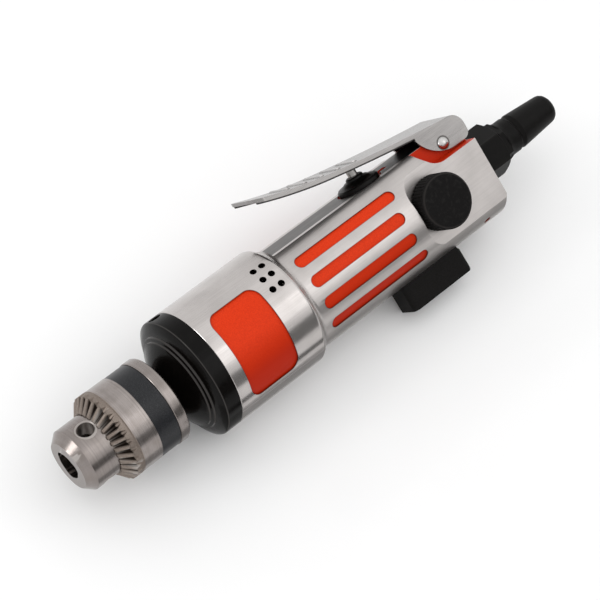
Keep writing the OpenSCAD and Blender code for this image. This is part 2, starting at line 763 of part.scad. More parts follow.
// Bar along the slope of a jaw, between two stations on that slope
module jaw_bar(u0, u1, r) {
    translate([0, 0, jaw_rho]) rotate([0, -jaw_angle, 0]) xcyl(u0, u1, r);
}

module chuck_body() {
    back_r = sleeve_r + 0.1;
    color(steel) difference() {
        turned([[0, 0], [0, nose_face_r], [nose_cone, nose_r], [nut_x0 - 0.2, nose_r],
            [nut_x0 - 0.2, jaw_back(nut_x0) - 0.3], [nut_x1 + 0.2, jaw_back(nut_x1) - 0.3],
            [nut_x1 + 0.2, core_r], [sleeve_back + 0.2, core_r], [sleeve_back + 0.2, back_r - 0.2],
            [sleeve_back + 0.4, back_r], [chuck_len - 1.1, back_r], [chuck_len - 0.4, back_r - 0.4],
            [chuck_len, back_r - 1.3], [chuck_len, 0]]);
        xcyl(-1, socket_x, shank_r);
        xcyl(socket_x - 1, chuck_len + 1, socket_r);
        for (a = jaw_angles) rotate([a, 0, 0]) jaw_bar(-6, jaw_end + 0.4, jaw_bore_r);
        for (a = pilot_angles) rotate([a, 0, 0]) translate([pilot_x, 0, 0]) {
            cylinder(h = nose_r + 1, r = pilot_r);
            translate([0, 0, nose_r - 0.55]) cylinder(h = 1.1, r1 = pilot_r - 0.1, r2 = pilot_r + 1);
        }
    }
}

module chuck_screw() {
    color(dark_steel) difference() {
        union() {
            xcyl(socket_x - 1.2, socket_x + 1.6, socket_r - 0.4);
            xcyl(socket_x, chuck_len - 2, 2.5);
        }
        along_x(socket_x - 3, 3.6) circle(r = 1.75, $fn = 6);
    }
}

// Space between two teeth, deeper and wider towards the outside of the sleeve
module tooth_space() {
    slope = atan2(sleeve_r - nose_r - 0.6, tooth_cone);
    run = tooth_cone / cos(slope);
    tilt = slope - atan2(tooth_depth - tooth_front, run);
    half = tooth_root / 2 + 4 * tan(36);
    translate([nose_len + tooth_front * sin(slope), 0, nose_r + 0.7 - tooth_front * cos(slope)])
        rotate([0, -tilt, 0]) translate([-2, 0, 0]) rotate([90, 0, 90]) linear_extrude(run + 6)
            polygon([[-tooth_root / 2, 0], [tooth_root / 2, 0], [half, 4], [-half, 4]]);
}

module chuck_sleeve() {
    ring_end = nose_len + tooth_cone + 3.4;
    band_x = sleeve_back - band_len;
    color(steel) difference() {
        turned([[nose_len, nose_r + run_gap + 0.05], [nose_len, nose_r + 0.7],
            [nose_len + tooth_cone, sleeve_r + 0.1], [ring_end - 0.2, sleeve_r + 0.1],
            [ring_end, sleeve_r - 0.15], [ring_end + 0.2, sleeve_r], [band_x, sleeve_r],
            [band_x + 0.05, sleeve_r - band_depth], [sleeve_back, sleeve_r - band_depth],
            [sleeve_back, sleeve_bore], [nut_x0 - 0.4, sleeve_bore],
            [nut_x0 - 0.4, nose_r + run_gap + 0.05]]);
        for (i = [0:key_teeth - 1]) rotate([i * key_pitch, 0, 0]) tooth_space();
    }
}

module split_nut() {
    color(steel) difference() {
        turned([[nut_x0, jaw_back(nut_x0) + 0.2], [nut_x0, sleeve_bore - seat_gap],
            [nut_x1, sleeve_bore - seat_gap], [nut_x1, jaw_back(nut_x1) + 0.2]]);
        translate([nut_x0 - 1, -0.1, -sleeve_r]) cube([nut_x1 - nut_x0 + 2, 0.2, 2 * sleeve_r]);
    }
}

// A jaw at rest, drawn back until the shank's bore is clear
module jaw(a) {
    tip = jaw_closed_d / 2;
    side = tan(60);
    x1 = jaw_tip_x + jaw_len;
    rack_x = x1 - 13;
    steps = floor(12 / jaw_pitch);
    color(steel) rotate([a, 0, 0]) translate([jaw_open * cos(jaw_angle), 0, jaw_open * sin(jaw_angle)])
        intersection() {
            translate([0, 0, jaw_rho]) rotate([0, -jaw_angle, 0]) turned(concat(
                [[jaw_tip_x - 3, 0], [jaw_tip_x - 3, jaw_r]],
                [for (i = [0:steps - 1]) each [[rack_x + i * jaw_pitch, jaw_r],
                    [rack_x + (i + 0.5) * jaw_pitch, jaw_r - 0.5]]],
                [[rack_x + steps * jaw_pitch, jaw_r], [x1, jaw_r], [x1, 0]]));
            translate([jaw_tip_x, 0, 0]) rotate([90, 0, 90]) linear_extrude(jaw_len + 5)
                polygon([[-(tip - 0.1) * side, tip], [(tip - 0.1) * side, tip], [20 * side, 20.1],
                    [-20 * side, 20.1]]);
        }
}

module jaw_1() { jaw(jaw_angles[0]); }
module jaw_2() { jaw(jaw_angles[1]); }
module jaw_3() { jaw(jaw_angles[2]); }

module valve_bushing() {
    z0 = bush_seat_z;
    boss_r = stem_r + 1.1;
    rim_z = z0 + bush_flange;
    cone_z = z0 + bush_cone;
    boss_z = z0 + bush_boss;
    guide_z = z0 - bush_guide;
    ring_r = bush_shank_r - 2 * ring_cord_r - seat_gap;
    color(black) translate([valve_x, 0, 0]) difference() {
        rotate_extrude() polygon([[stem_r + run_gap, guide_z], [stem_r + run_gap, boss_z], [boss_r, boss_z],
            [boss_r + 0.5, boss_z - 0.4], [boss_r + 0.6, cone_z + 0.3], [boss_r + 1.8, cone_z],
            [bushing_r - 2.2, rim_z + 0.3], [bushing_r - 0.5, rim_z], [bushing_r, rim_z - 0.5],
            [bushing_r, z0], [bush_shank_r, z0], [bush_shank_r, bush_ring_z + 0.5],
            [ring_r, bush_ring_z + 0.5], [ring_r, bush_ring_z - 0.5], [bush_shank_r, bush_ring_z - 0.5],
            [bush_shank_r, bush_step_z], [bush_tube_r, bush_step_z], [bush_tube_r, seat_z],
            [seat_r, seat_z], [seat_r, guide_z]]);
        for (a = [0, 90]) rotate([0, 90, a])
            translate([-seat_z - 2.5, 0, -bushing_r]) cylinder(h = 2 * bushing_r, r = 1.3);
    }
}

module bushing_o_ring() {
    color(rubber) translate([valve_x, 0, bush_ring_z]) rotate_extrude()
        translate([bush_shank_r - ring_cord_r, 0]) circle(r = ring_cord_r, $fn = 24);
}

module valve_stem() {
    color(steel) translate([valve_x, 0, 0]) {
        translate([0, 0, ball_z + ball_r + 0.02]) cylinder(h = stem_top - stem_r - ball_z - ball_r - 0.02, r = stem_r);
        translate([0, 0, stem_top - stem_r]) sphere(r = stem_r);
    }
}

module valve_ball() { color(steel) translate([valve_x, 0, ball_z]) sphere(r = ball_r); }

module throttle_spring() {
    points = coil(spring_r, spring_turns, spring_len - 2 * spring_wire_r);
    echo(throttle_spring_gap = coil_gap(points, spring_wire_r));
    color(steel) translate([valve_x, 0, valve_floor_z + 0.03 + spring_wire_r]) tube(points, spring_wire_r, 6);
}

// Side view of the lever in X and Z
function lever_top() = [for (i = [0:20]) let (x = lever_tip_x + (lever_end_x - lever_tip_x) * i / 20)
    [x, lever_z(x)]];
function lever_low(x) = lever_z(x) - lever_edge;

module lever_outline() {
    bend_z = lever_end_z - lever_bend;
    ear_front = ear_x - ear_r * cos(15);
    polygon(concat(lever_top(), arc(lever_end_x, bend_z, lever_bend, 80, 0, 8),
        arc(lever_back - ear_corner, ear_z + ear_corner, ear_corner, 0, -90, 5),
        arc(ear_x, ear_z + ear_r, ear_r, -90, -165, 10),
        [for (i = [20:-1:0]) let (x = lever_tip_x + (ear_front - 1 - lever_tip_x) * i / 20)
            [x, lever_low(x)]]));
}

module lever_hollow() {
    bend_z = lever_end_z - lever_bend;
    polygon(concat([[lever_tip_x - 5, lever_z(lever_tip_x - 5) - lever_t]],
        [for (p = lever_top()) [p[0], p[1] - lever_t]],
        arc(lever_end_x, bend_z, lever_bend - lever_t, 80, 0, 8),
        [[lever_back - lever_t, 0], [lever_tip_x - 5, 0]]));
}

module throttle_lever() {
    tip_r = 5;
    color(steel) difference() {
        intersection() {
            union() {
                side_plate(lever_w) lever_outline();
                for (i = [0:ridge_count - 1]) let (x = ridge_x0 + i * ridge_pitch)
                    translate([x, 0, lever_z(x) - 1.2]) ycyl(-6.5, 6.5, 1.7);
            }
            linear_extrude(lever_z(lever_tip_x) + 10) {
                translate([lever_tip_x + tip_r, -lever_w / 2]) square([lever_back, lever_w]);
                translate([lever_tip_x, tip_r - lever_w / 2]) square([lever_back, lever_w - 2 * tip_r]);
                for (i = [-1, 1])
                    translate([lever_tip_x + tip_r, i * (lever_w / 2 - tip_r)]) circle(r = tip_r);
            }
        }
        side_plate(lever_w - 2 * lever_t) lever_hollow();
        translate([pin_x, 0, pin_z]) ycyl(-20, 20, pin_r + 0.05);
    }
}

module lever_pin() {
    color(steel) translate([pin_x, 0, pin_z]) {
        ycyl(-lever_w / 2 - 0.4, lever_w / 2 + 0.4, pin_r);
        for (side = [-1, 1]) intersection() {
            translate([0, side * (lever_w / 2 - 1.2), 0]) sphere(r = 2.75);
            translate([0, side > 0 ? lever_w / 2 + 0.1 : -lever_w / 2 - 3.1, 0]) ycyl(0, 3, 3);
        }
    }
}

module reverse_knob() {
    color(black) translate([knob_x, -knob_back_y, 0]) difference() {
        rotate([90, 0, 0]) rotate_extrude() polygon([[0, 0], [knob_r - 0.5, 0], [knob_r, 0.5],
            [knob_r, knob_t - 0.9], [knob_r - 0.9, knob_t], [0, knob_t]]);
        for (i = [0:knob_grooves - 1]) rotate([0, i * 360 / knob_grooves, 0])
            translate([0, 0, knob_r + 0.1]) ycyl(-knob_t + 1.2, 1, 0.42, $fn = 16);
        ycyl(-5, 1, neck_end_r + seat_gap);
        rotate([90, 0, 0]) rotate_extrude() translate([detent_z, -detent_r + 0.45]) circle(r = detent_r + 0.1);
        for (a = [0, 90]) rotate([0, a, 0]) translate([0, 0.85, detent_z]) sphere(r = detent_r + 0.15);
    }
}

module reverse_spool() {
    color(brass) translate([knob_x, 0, 0]) difference() {
        union() {
            ycyl(-knob_back_y + 0.1, knob_back_y, spool_r);
            ycyl(-knob_back_y - 4.9, 0, neck_end_r);
        }
        rotate([90, 0, 0]) rotate_extrude() translate([spool_r - 2, -2]) square([4, 4]);
        translate([-2 * spool_r, -spool_cut, -spool_r]) cube([2 * spool_r - 2.2, spool_cut - 1.8, 2 * spool_r]);
        translate([-spool_r, 1.8, -2 * spool_r]) cube([2 * spool_r, spool_cut - 1.8, 2 * spool_r - 2.2]);
        for (y = spool_ring_y) translate([0, y, 0]) rotate([90, 0, 0]) rotate_extrude()
            translate([spool_r - 0.65, -0.4]) square([2, 0.8]);
        ycyl(8, 30, 1.25);
    }
}

module spool_o_rings() {
    color(rubber) for (y = spool_ring_y) translate([knob_x, y, 0]) rotate([90, 0, 0])
        rotate_extrude() translate([spool_r - 0.32, 0]) circle(r = 0.31, $fn = 24);
}

module spool_screw() {
    color(dark_steel) translate([knob_x, 0, 0]) difference() {
        union() {
            ycyl(8.4, knob_back_y + 1, 1.25 - seat_gap);
            ycyl(knob_back_y + 0.02, knob_back_y + washer_t, washer_r);
            ycyl(knob_back_y + 0.02, knob_back_y + washer_t + 2, 3.1);
        }
        rotate([90, 0, 0]) translate([0, 0, -knob_back_y - washer_t - 2.5]) linear_extrude(1.9)
            circle(r = 1.5, $fn = 6);
    }
}

module detent_ball() {
    color(steel) translate([knob_x, detent_y, detent_z]) sphere(r = detent_r);
}

module detent_spring() {
    wire = 0.2;
    y0 = -detent_floor - seat_gap;
    len = y0 - (detent_y + detent_r - 0.26);
    points = coil(1.05, 4, len - 2 * wire);
    echo(detent_spring_gap = coil_gap(points, wire));
    color(steel) translate([knob_x, y0 - wire, detent_z]) rotate([90, 0, 0]) tube(points, wire, 6);
}

// Side view of the deflector in X and Z
module deflector_outline() {
    polygon(concat([[deflector_x, -screw_top_z], [deflector_x, -deflector_z]],
        arc(deflector_end - 2, 2 - deflector_z, 2, -90, 0, 6),
        [[deflector_end, -handle_r - 1.3], [deflector_end - 1.5, 0.2 - handle_r],
        [deflector_end - 1.5, -screw_top_z]]));
}

module exhaust_deflector() {
    x0 = deflector_x + deflector_wall;
    half = deflector_w / 2 - deflector_wall;
    room_h = deflector_h - deflector_wall - deflector_roof;
    lip_x = port_x[0] + 0.1;
    lip_len = port_x[1] - port_x[0] - 0.2;
    color(black) difference() {
        union() {
            difference() {
                intersection() {
                    translate([deflector_x + deflector_len / 2, 0, -deflector_z])
                        linear_extrude(deflector_z - screw_top_z) round_rect(deflector_len, deflector_w, 2.5);
                    side_plate(deflector_w + 2) deflector_outline();
                }
                xcyl(deflector_x - 1, deflector_end + 1, handle_r + seat_gap);
                difference() {
                    translate([x0, -half, deflector_wall - deflector_z])
                        cube([deflector_len - 2 * deflector_wall, 2 * half, room_h]);
                    translate([screw_x, 0, -deflector_z]) cylinder(h = 10, r = 2.9);
                }
                for (y = [-3.1, 0, 3.1]) translate([deflector_end - 2.5, y - 0.8, deflector_wall + 1 - deflector_z])
                    cube([5, 1.6, room_h - 1.8]);
            }
            translate([lip_x, -3.9, -handle_r - deflector_roof]) cube([lip_len, 7.8, deflector_roof + 1.5]);
        }
        translate([lip_x + 1, -2.9, -handle_r - deflector_roof - 1]) cube([lip_len - 2, 5.8, 8]);
        translate([screw_x, 0, -deflector_z - 1]) cylinder(h = 3.2, r = 2.6);
        translate([screw_x, 0, -deflector_z - 1]) cylinder(h = 20, r = 1.35);
    }
}

module silencer_felt() {
    half = deflector_w / 2 - deflector_wall - 0.1;
    color([0.35, 0.34, 0.32]) translate([felt_x[0], -half, deflector_wall + 0.1 - deflector_z])
        cube([felt_x[1] - felt_x[0], 2 * half, deflector_h - deflector_wall - deflector_roof - 1.4]);
}

module deflector_screw() {
    color(dark_steel) translate([screw_x, 0, 0]) difference() {
        union() {
            translate([0, 0, 0.3 - deflector_z]) cylinder(h = 1.88, r = 2.45);
            translate([0, 0, 1 - deflector_z]) cylinder(h = deflector_z - 1 - screw_top_z, r = 1.28);
        }
        translate([0, 0, -deflector_z]) linear_extrude(1.5) circle(r = 1.3, $fn = 6);
    }
}

module inlet_bushing() {
    shank_x = house_back - inlet_depth + 0.2;
    color(black) difference() {
        union() {
            xcyl(shank_x, house_back + 1, inlet_r - seat_gap);
            intersection() {
                hex_bar(house_back + 0.01, inlet_hex_end, inlet_af);
                turned([[house_back, 0], [house_back, 20], [inlet_hex_end - 1.1, inlet_af / sqrt(3)],
                    [inlet_hex_end, inlet_af / 2 - 0.3], [inlet_hex_end, 0]]);
            }
        }
        xcyl(shank_x - 1, inlet_hex_end, 4);
        xcyl(shank_x - 1, shank_x + 3.5, 5.3);
        xcyl(house_back + 1.5, inlet_hex_end + 1, plug_thread_r);
    }
}

module inlet_screen() {
    x0 = house_back - inlet_depth + 0.3;
    color(brass) difference() {
        xcyl(x0, x0 + 3.3, 5.3 - seat_gap);
        xcyl(x0 + 0.5, x0 + 4, 4.7);
        for (ring = [[0, 1], [1.75, 6], [3.45, 12]], i = [0:ring[1] - 1])
            rotate([i * 360 / ring[1], 0, 0]) translate([0, 0, ring[0]]) xcyl(x0 - 1, x0 + 1, 0.6, $fn = 16);
    }
}

module air_plug() {
    collar_x = plug_x + plug_hex + plug_taper;
    back_r = plug_r - bulb_taper;
    color(black) difference() {
        union() {
            xcyl(house_back + 3, plug_x + 1, plug_thread_r - seat_gap);
            hex_bar(plug_x + 0.02, plug_x + plug_hex, plug_af);
            turned([[plug_x + plug_hex - 0.6, 0], [plug_x + plug_hex - 0.6, plug_af / 2 + 0.3],
                [collar_x, plug_r], [collar_back, plug_r], [collar_back + 0.9, plug_r - neck_depth],
                [bulb_x - 1.2, plug_r - neck_depth], [bulb_x, plug_r], [plug_end - 2.6, back_r],
                [plug_end - 1.6, back_r - 0.2], [plug_end - 0.7, back_r - 0.75],
                [plug_end - 0.2, back_r - 1.35], [plug_end, back_r - 1.85], [plug_end, 0]]);
        }
        xcyl(house_back + 2, plug_end + 1, plug_bore);
    }
}

housing();
clamp_nut();
spindle_bearing_front();
spindle_bearing_rear();
ring_gear();
front_end_plate();
motor_cylinder();
rear_end_plate();
motor_gasket();
motor_dowel();
rotor_bearing_front();
rotor_bearing_rear();
valve_bushing();
bushing_o_ring();
throttle_spring();
lever_pin();
detent_ball();
detent_spring();
exhaust_deflector();
silencer_felt();
deflector_screw();
inlet_bushing();
inlet_screen();
air_plug();
spindle();
chuck_body();
chuck_screw();
planet_pins();
planet_bushes();
chuck_sleeve();
split_nut();
jaw_1();
jaw_2();
jaw_3();
planet_gear_1();
planet_gear_2();
planet_gear_3();
rotor();
vanes();
throttle_lever();
valve_stem();
valve_ball();
reverse_knob();
reverse_spool();
spool_o_rings();
spool_screw();
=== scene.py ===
"""Looks of the reversible air drill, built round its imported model.

Lengths are metres. Values whose names end in _mm are millimetres, as in the part's source.
X runs from the chuck to the air inlet, -Y is the knob side and +Z is the lever side.
"""
import sys

import logging
import math
from dataclasses import dataclass
from dataclasses import field
from enum import Enum
from functools import cache

import bpy
from mathutils import Matrix
from mathutils import Vector


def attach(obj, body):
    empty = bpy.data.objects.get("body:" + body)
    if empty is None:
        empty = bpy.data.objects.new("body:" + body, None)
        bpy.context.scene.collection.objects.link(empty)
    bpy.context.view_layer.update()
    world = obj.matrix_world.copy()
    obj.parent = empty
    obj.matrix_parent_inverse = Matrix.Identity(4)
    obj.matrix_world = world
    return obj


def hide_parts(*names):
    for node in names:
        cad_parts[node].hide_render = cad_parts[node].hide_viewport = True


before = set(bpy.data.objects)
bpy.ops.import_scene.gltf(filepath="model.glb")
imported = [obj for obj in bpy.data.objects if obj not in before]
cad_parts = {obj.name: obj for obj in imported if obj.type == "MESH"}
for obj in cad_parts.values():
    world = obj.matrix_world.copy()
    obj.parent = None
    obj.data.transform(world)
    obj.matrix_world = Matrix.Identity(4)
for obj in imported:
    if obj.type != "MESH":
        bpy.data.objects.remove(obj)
log = logging.getLogger("air_drill")

Triple = tuple[float, float, float]
Colour = Triple
Span = tuple[float, float]
Socket = bpy.types.NodeSocket
Material = bpy.types.Material
Piece = bpy.types.Object

MM_PER_M = 1000.0
EDGE_MM = 0.02
SOFT_MM = 0.05
TURN_SOFT_RAD = 0.02
WORN_POINTINESS = (0.53, 0.62)
DIRT_AND_SHADE_POINTINESS = (0.47, 0.38)


class Slot(Enum):
    """The material slots of the record, which soften is given but doesn't use."""

    ALUMINIUM = "polished_aluminium"
    BLACK_OXIDE = "black_oxide"
    SATIN_STEEL = "satin_steel"
    SHEET_STEEL = "sheet_steel"
    BRIGHT_STEEL = "bright_steel"
    BLACK_PLASTIC = "black_plastic"


@dataclass(frozen=True)
class Pattern:
    """A noise pattern.

    One look turns into another between the values in at. A small factor in stretch draws the pattern out.
    """

    per_mm: float
    detail: float = 4.0
    at: Span = (0.3, 0.7)
    stretch: Triple = (1.0, 1.0, 1.0)


@dataclass(frozen=True)
class Layer:
    """A colour that lies over another one, and how much of it shows."""

    colour: Colour
    share: float


@dataclass(frozen=True)
class Relief:
    """A bump's strength, from 0 to 1, its depth, and the share of a second pattern in it."""

    strength: float
    depth_mm: float
    share: float = 0.0


@dataclass(frozen=True)
class Box:
    """A space in millimetres that ends at a radius round the spindle.

    Its Y may count on both sides, and soft_y is the half width of its edges along Y.
    """

    x: Span
    y: Span
    z: Span
    reach: float
    both_sides: bool = False
    soft_y: float = EDGE_MM


class ShaderBench:
    """A material's node tree, with short calls for the nodes that the finishes use.

    An object among the arguments is a socket, or a constant of its kind. The point on the piece is place, its
    parts along X, Y and Z are axes, and its distance from the spindle axis is radius, all in millimetres.
    """

    def __init__(self, name: str) -> None:
        """Starts a material.

        Args:
            name: The material's name.
        """
        self.material = bpy.data.materials.new(name)
        self.material.use_nodes = True
        self.tree = self.material.node_tree
        self.shader = self.tree.nodes["Principled BSDF"]
        scale = self.add("ShaderNodeVectorMath")
        scale.operation = "SCALE"
        self.feed(scale.inputs[0], self.add("ShaderNodeTexCoord").outputs["Object"])
        self.feed(scale.inputs["Scale"], MM_PER_M)
        self.place = scale.outputs[0]
        split = self.add("ShaderNodeSeparateXYZ")
        self.feed(split.inputs[0], self.place)
        self.axes = tuple(split.outputs)
        self.radius = self.root(*self.axes[1:])

    def add(self, kind: str) -> bpy.types.Node:
        """Adds a node of that kind."""
        return self.tree.nodes.new(kind)

    def feed(self, target: Socket, value: object) -> None:
        """Links a socket to the target, or writes a constant on it.

        Args:
            target: The socket that takes the value.
            value: A socket, a number or a colour.
        """
        if isinstance(value, Socket):
            self.tree.links.new(value, target)
        elif isinstance(value, tuple):
            target.default_value = (*value, 1.0)
        else:
            target.default_value = value

    def math(self, operation: str, first: object, *others: object) -> Socket:
        """Adds Math nodes that join values in turn, or one node for a single value.

        Args:
            operation: The Math nodes' operation.
            first: The first value.
            others: The values that are joined to it.

        Returns:
            The result.
        """
        for other in others or (0.0,):
            node = self.add("ShaderNodeMath")
            node.operation = operation
            self.feed(node.inputs[0], first)
            self.feed(node.inputs[1], other)
            first = node.outputs[0]
        return first

    def times(self, *values: object) -> Socket:
        """Returns the product, which for masks is 1 where all of them are."""
        return self.math("MULTIPLY", *values)

    def largest(self, *values: object) -> Socket:
        """Returns the largest value, which for masks is 1 where any of them is."""
        return self.math("MAXIMUM", *values)

    def total(self, *values: object) -> Socket:
        """Returns the sum."""
        return self.math("ADD", *values)

    def less(self, first: object, second: object) -> Socket:
        """Returns the difference."""
        return self.math("SUBTRACT", first, second)

    def size(self, value: object) -> Socket:
        """Returns a value without its sign."""
        return self.math("ABSOLUTE", value)

    def root(self, first: object, second: object) -> Socket:
        """Returns the root of the sum of two squares."""
        return self.math("SQRT", self.total(self.times(first, first), self.times(second, second)))

    def length(self, first: object, second: object) -> Socket:
        """Returns the length of two parts at right angles, where a part below 0 counts as 0."""
        return self.root(self.largest(first, 0.0), self.largest(second, 0.0))

    def off(self, value: object, middle: float) -> Socket:
        """Returns how far a value is from another one, on either side."""
        return self.size(self.less(value, middle))

    def ramp(self, value: object, low: float, high: float, start: float = 0.0, end: float = 1.0) -> Socket:
        """Maps a value to start at low and end at high, and holds it beyond them.

        Args:
            value: The socket that is mapped.
            low: The value that gives start.
            high: The value that gives end.
            start: The result at low.
            end: The result at high.

        Returns:
            The mapped value.
        """
        node = self.add("ShaderNodeMapRange")
        node.clamp = True
        places = ("Value", "From Min", "From Max", "To Min", "To Max")
        for place, given in zip(places, (value, low, high, start, end)):
            self.feed(node.inputs[place], given)
        return node.outputs["Result"]

    def rise(self, value: object, start: float, soft: float = SOFT_MM) -> Socket:
        """Returns 0 below start, and 1 above it."""
        return self.ramp(value, start, start + soft)

    def fall(self, value: object, start: float, soft: float = SOFT_MM) -> Socket:
        """Returns 1 below start, and 0 above it."""
        return self.ramp(value, start, start + soft, 1.0, 0.0)

    def within(self, value: object, low: float, high: float, soft: float = EDGE_MM) -> Socket:
        """Returns 1 between low and high, with an edge as wide as soft on either side of each."""
        return self.times(self.rise(value, low - soft, 2.0 * soft), self.fall(value, high - soft, 2.0 * soft))

    def inside(self, box: Box) -> Socket:
        """Finds a box.

        Args:
            box: The box.

        Returns:
            1 inside the box.
        """
        x, y, z = self.axes
        side = self.size(y) if box.both_sides else y
        across = self.within(side, *box.y, box.soft_y)
        below = self.fall(self.radius, box.reach)
        return self.times(self.within(x, *box.x), across, self.within(z, *box.z), below)

    def mix(self, factor: object, first: object, second: object) -> Socket:
        """Mixes two colours.

        Args:
            factor: How much of the second colour shows.
            first: The first colour.
            second: The second colour.

        Returns:
            The mixed colour.
        """
        node = self.add("ShaderNodeMix")
        node.data_type = "RGBA"
        for place, value in ((0, factor), (6, first), (7, second)):
            self.feed(node.inputs[place], value)
        return node.outputs[2]

    def tint(self, colour: object, mask: object, layer: Layer) -> Socket:
        """Lays a layer over a colour where the mask is 1."""
        return self.mix(self.times(mask, layer.share), colour, layer.colour)

    def at_least(self, value: object, mask: object, floor: float) -> Socket:
        """Raises a value to the floor where the mask is 1."""
        return self.largest(value, self.times(mask, floor))

    def texture(self, place: Socket, pattern: Pattern) -> Socket:
        """Adds a noise texture.

        Args:
            place: The point that it is read at.
            pattern: The pattern.

        Returns:
            The noise, from 0 to 1.
        """
        turn = self.add("ShaderNodeMapping")
        self.feed(turn.inputs["Vector"], place)
        turn.inputs["Scale"].default_value = pattern.stretch
        node = self.add("ShaderNodeTexNoise")
        self.feed(node.inputs["Vector"], turn.outputs[0])
        self.feed(node.inputs["Scale"], pattern.per_mm)
        self.feed(node.inputs["Detail"], pattern.detail)
        return node.outputs[0]

    def noise(self, pattern: Pattern) -> Socket:
        """Returns a noise that is fixed to the piece."""
        return self.texture(self.place, pattern)

    def rings(self, pattern: Pattern) -> Socket:
        """Adds the fine rings that turning leaves round the spindle axis.

        Args:
            pattern: The pattern.

        Returns:
            The noise, from 0 to 1.
        """
        point = self.add("ShaderNodeCombineXYZ")
        self.feed(point.inputs[0], self.axes[0])
        self.feed(point.inputs[1], self.radius)
        return self.texture(point.outputs[0], pattern)

    def edges(self) -> Socket:
        """Returns about 1 on convex edges, where handling wears a finish."""
        return self.ramp(self.add("ShaderNodeNewGeometry").outputs["Pointiness"], *WORN_POINTINESS)

    def hollows(self) -> Socket:
        """Returns about 1 in concave corners, where the finishes lay dirt together with painted shade."""
        return self.ramp(self.add("ShaderNodeNewGeometry").outputs["Pointiness"], *DIRT_AND_SHADE_POINTINESS)

    def bump(self, relief: Relief, pattern: Socket, second: object = 0.0) -> None:
        """Adds a bump to the surface.

        Args:
            relief: The bump's strength and depth.
            pattern: The pattern that stands out.
            second: The pattern that is added to it.
        """
        node = self.add("ShaderNodeBump")
        self.feed(node.inputs["Strength"], relief.strength)
        self.feed(node.inputs["Distance"], relief.depth_mm / MM_PER_M)
        self.feed(node.inputs["Height"], self.total(pattern, self.times(second, relief.share)))
        self.feed(self.shader.inputs["Normal"], node.outputs[0])

    def surface(self, colour: object, rough: object, metallic: object, gloss: float = 0.5) -> Material:
        """Feeds the shader.

        Args:
            colour: The base colour.
            rough: The roughness.
            metallic: How metallic the surface is.
            gloss: The specular level of what isn't metal.

        Returns:
            The finished material.
        """
        self.feed(self.shader.inputs["Base Color"], colour)
        self.feed(self.shader.inputs["Roughness"], rough)
        self.feed(self.shader.inputs["Metallic"], metallic)
        self.shader.inputs["Specular IOR Level"].default_value = gloss
        return self.material


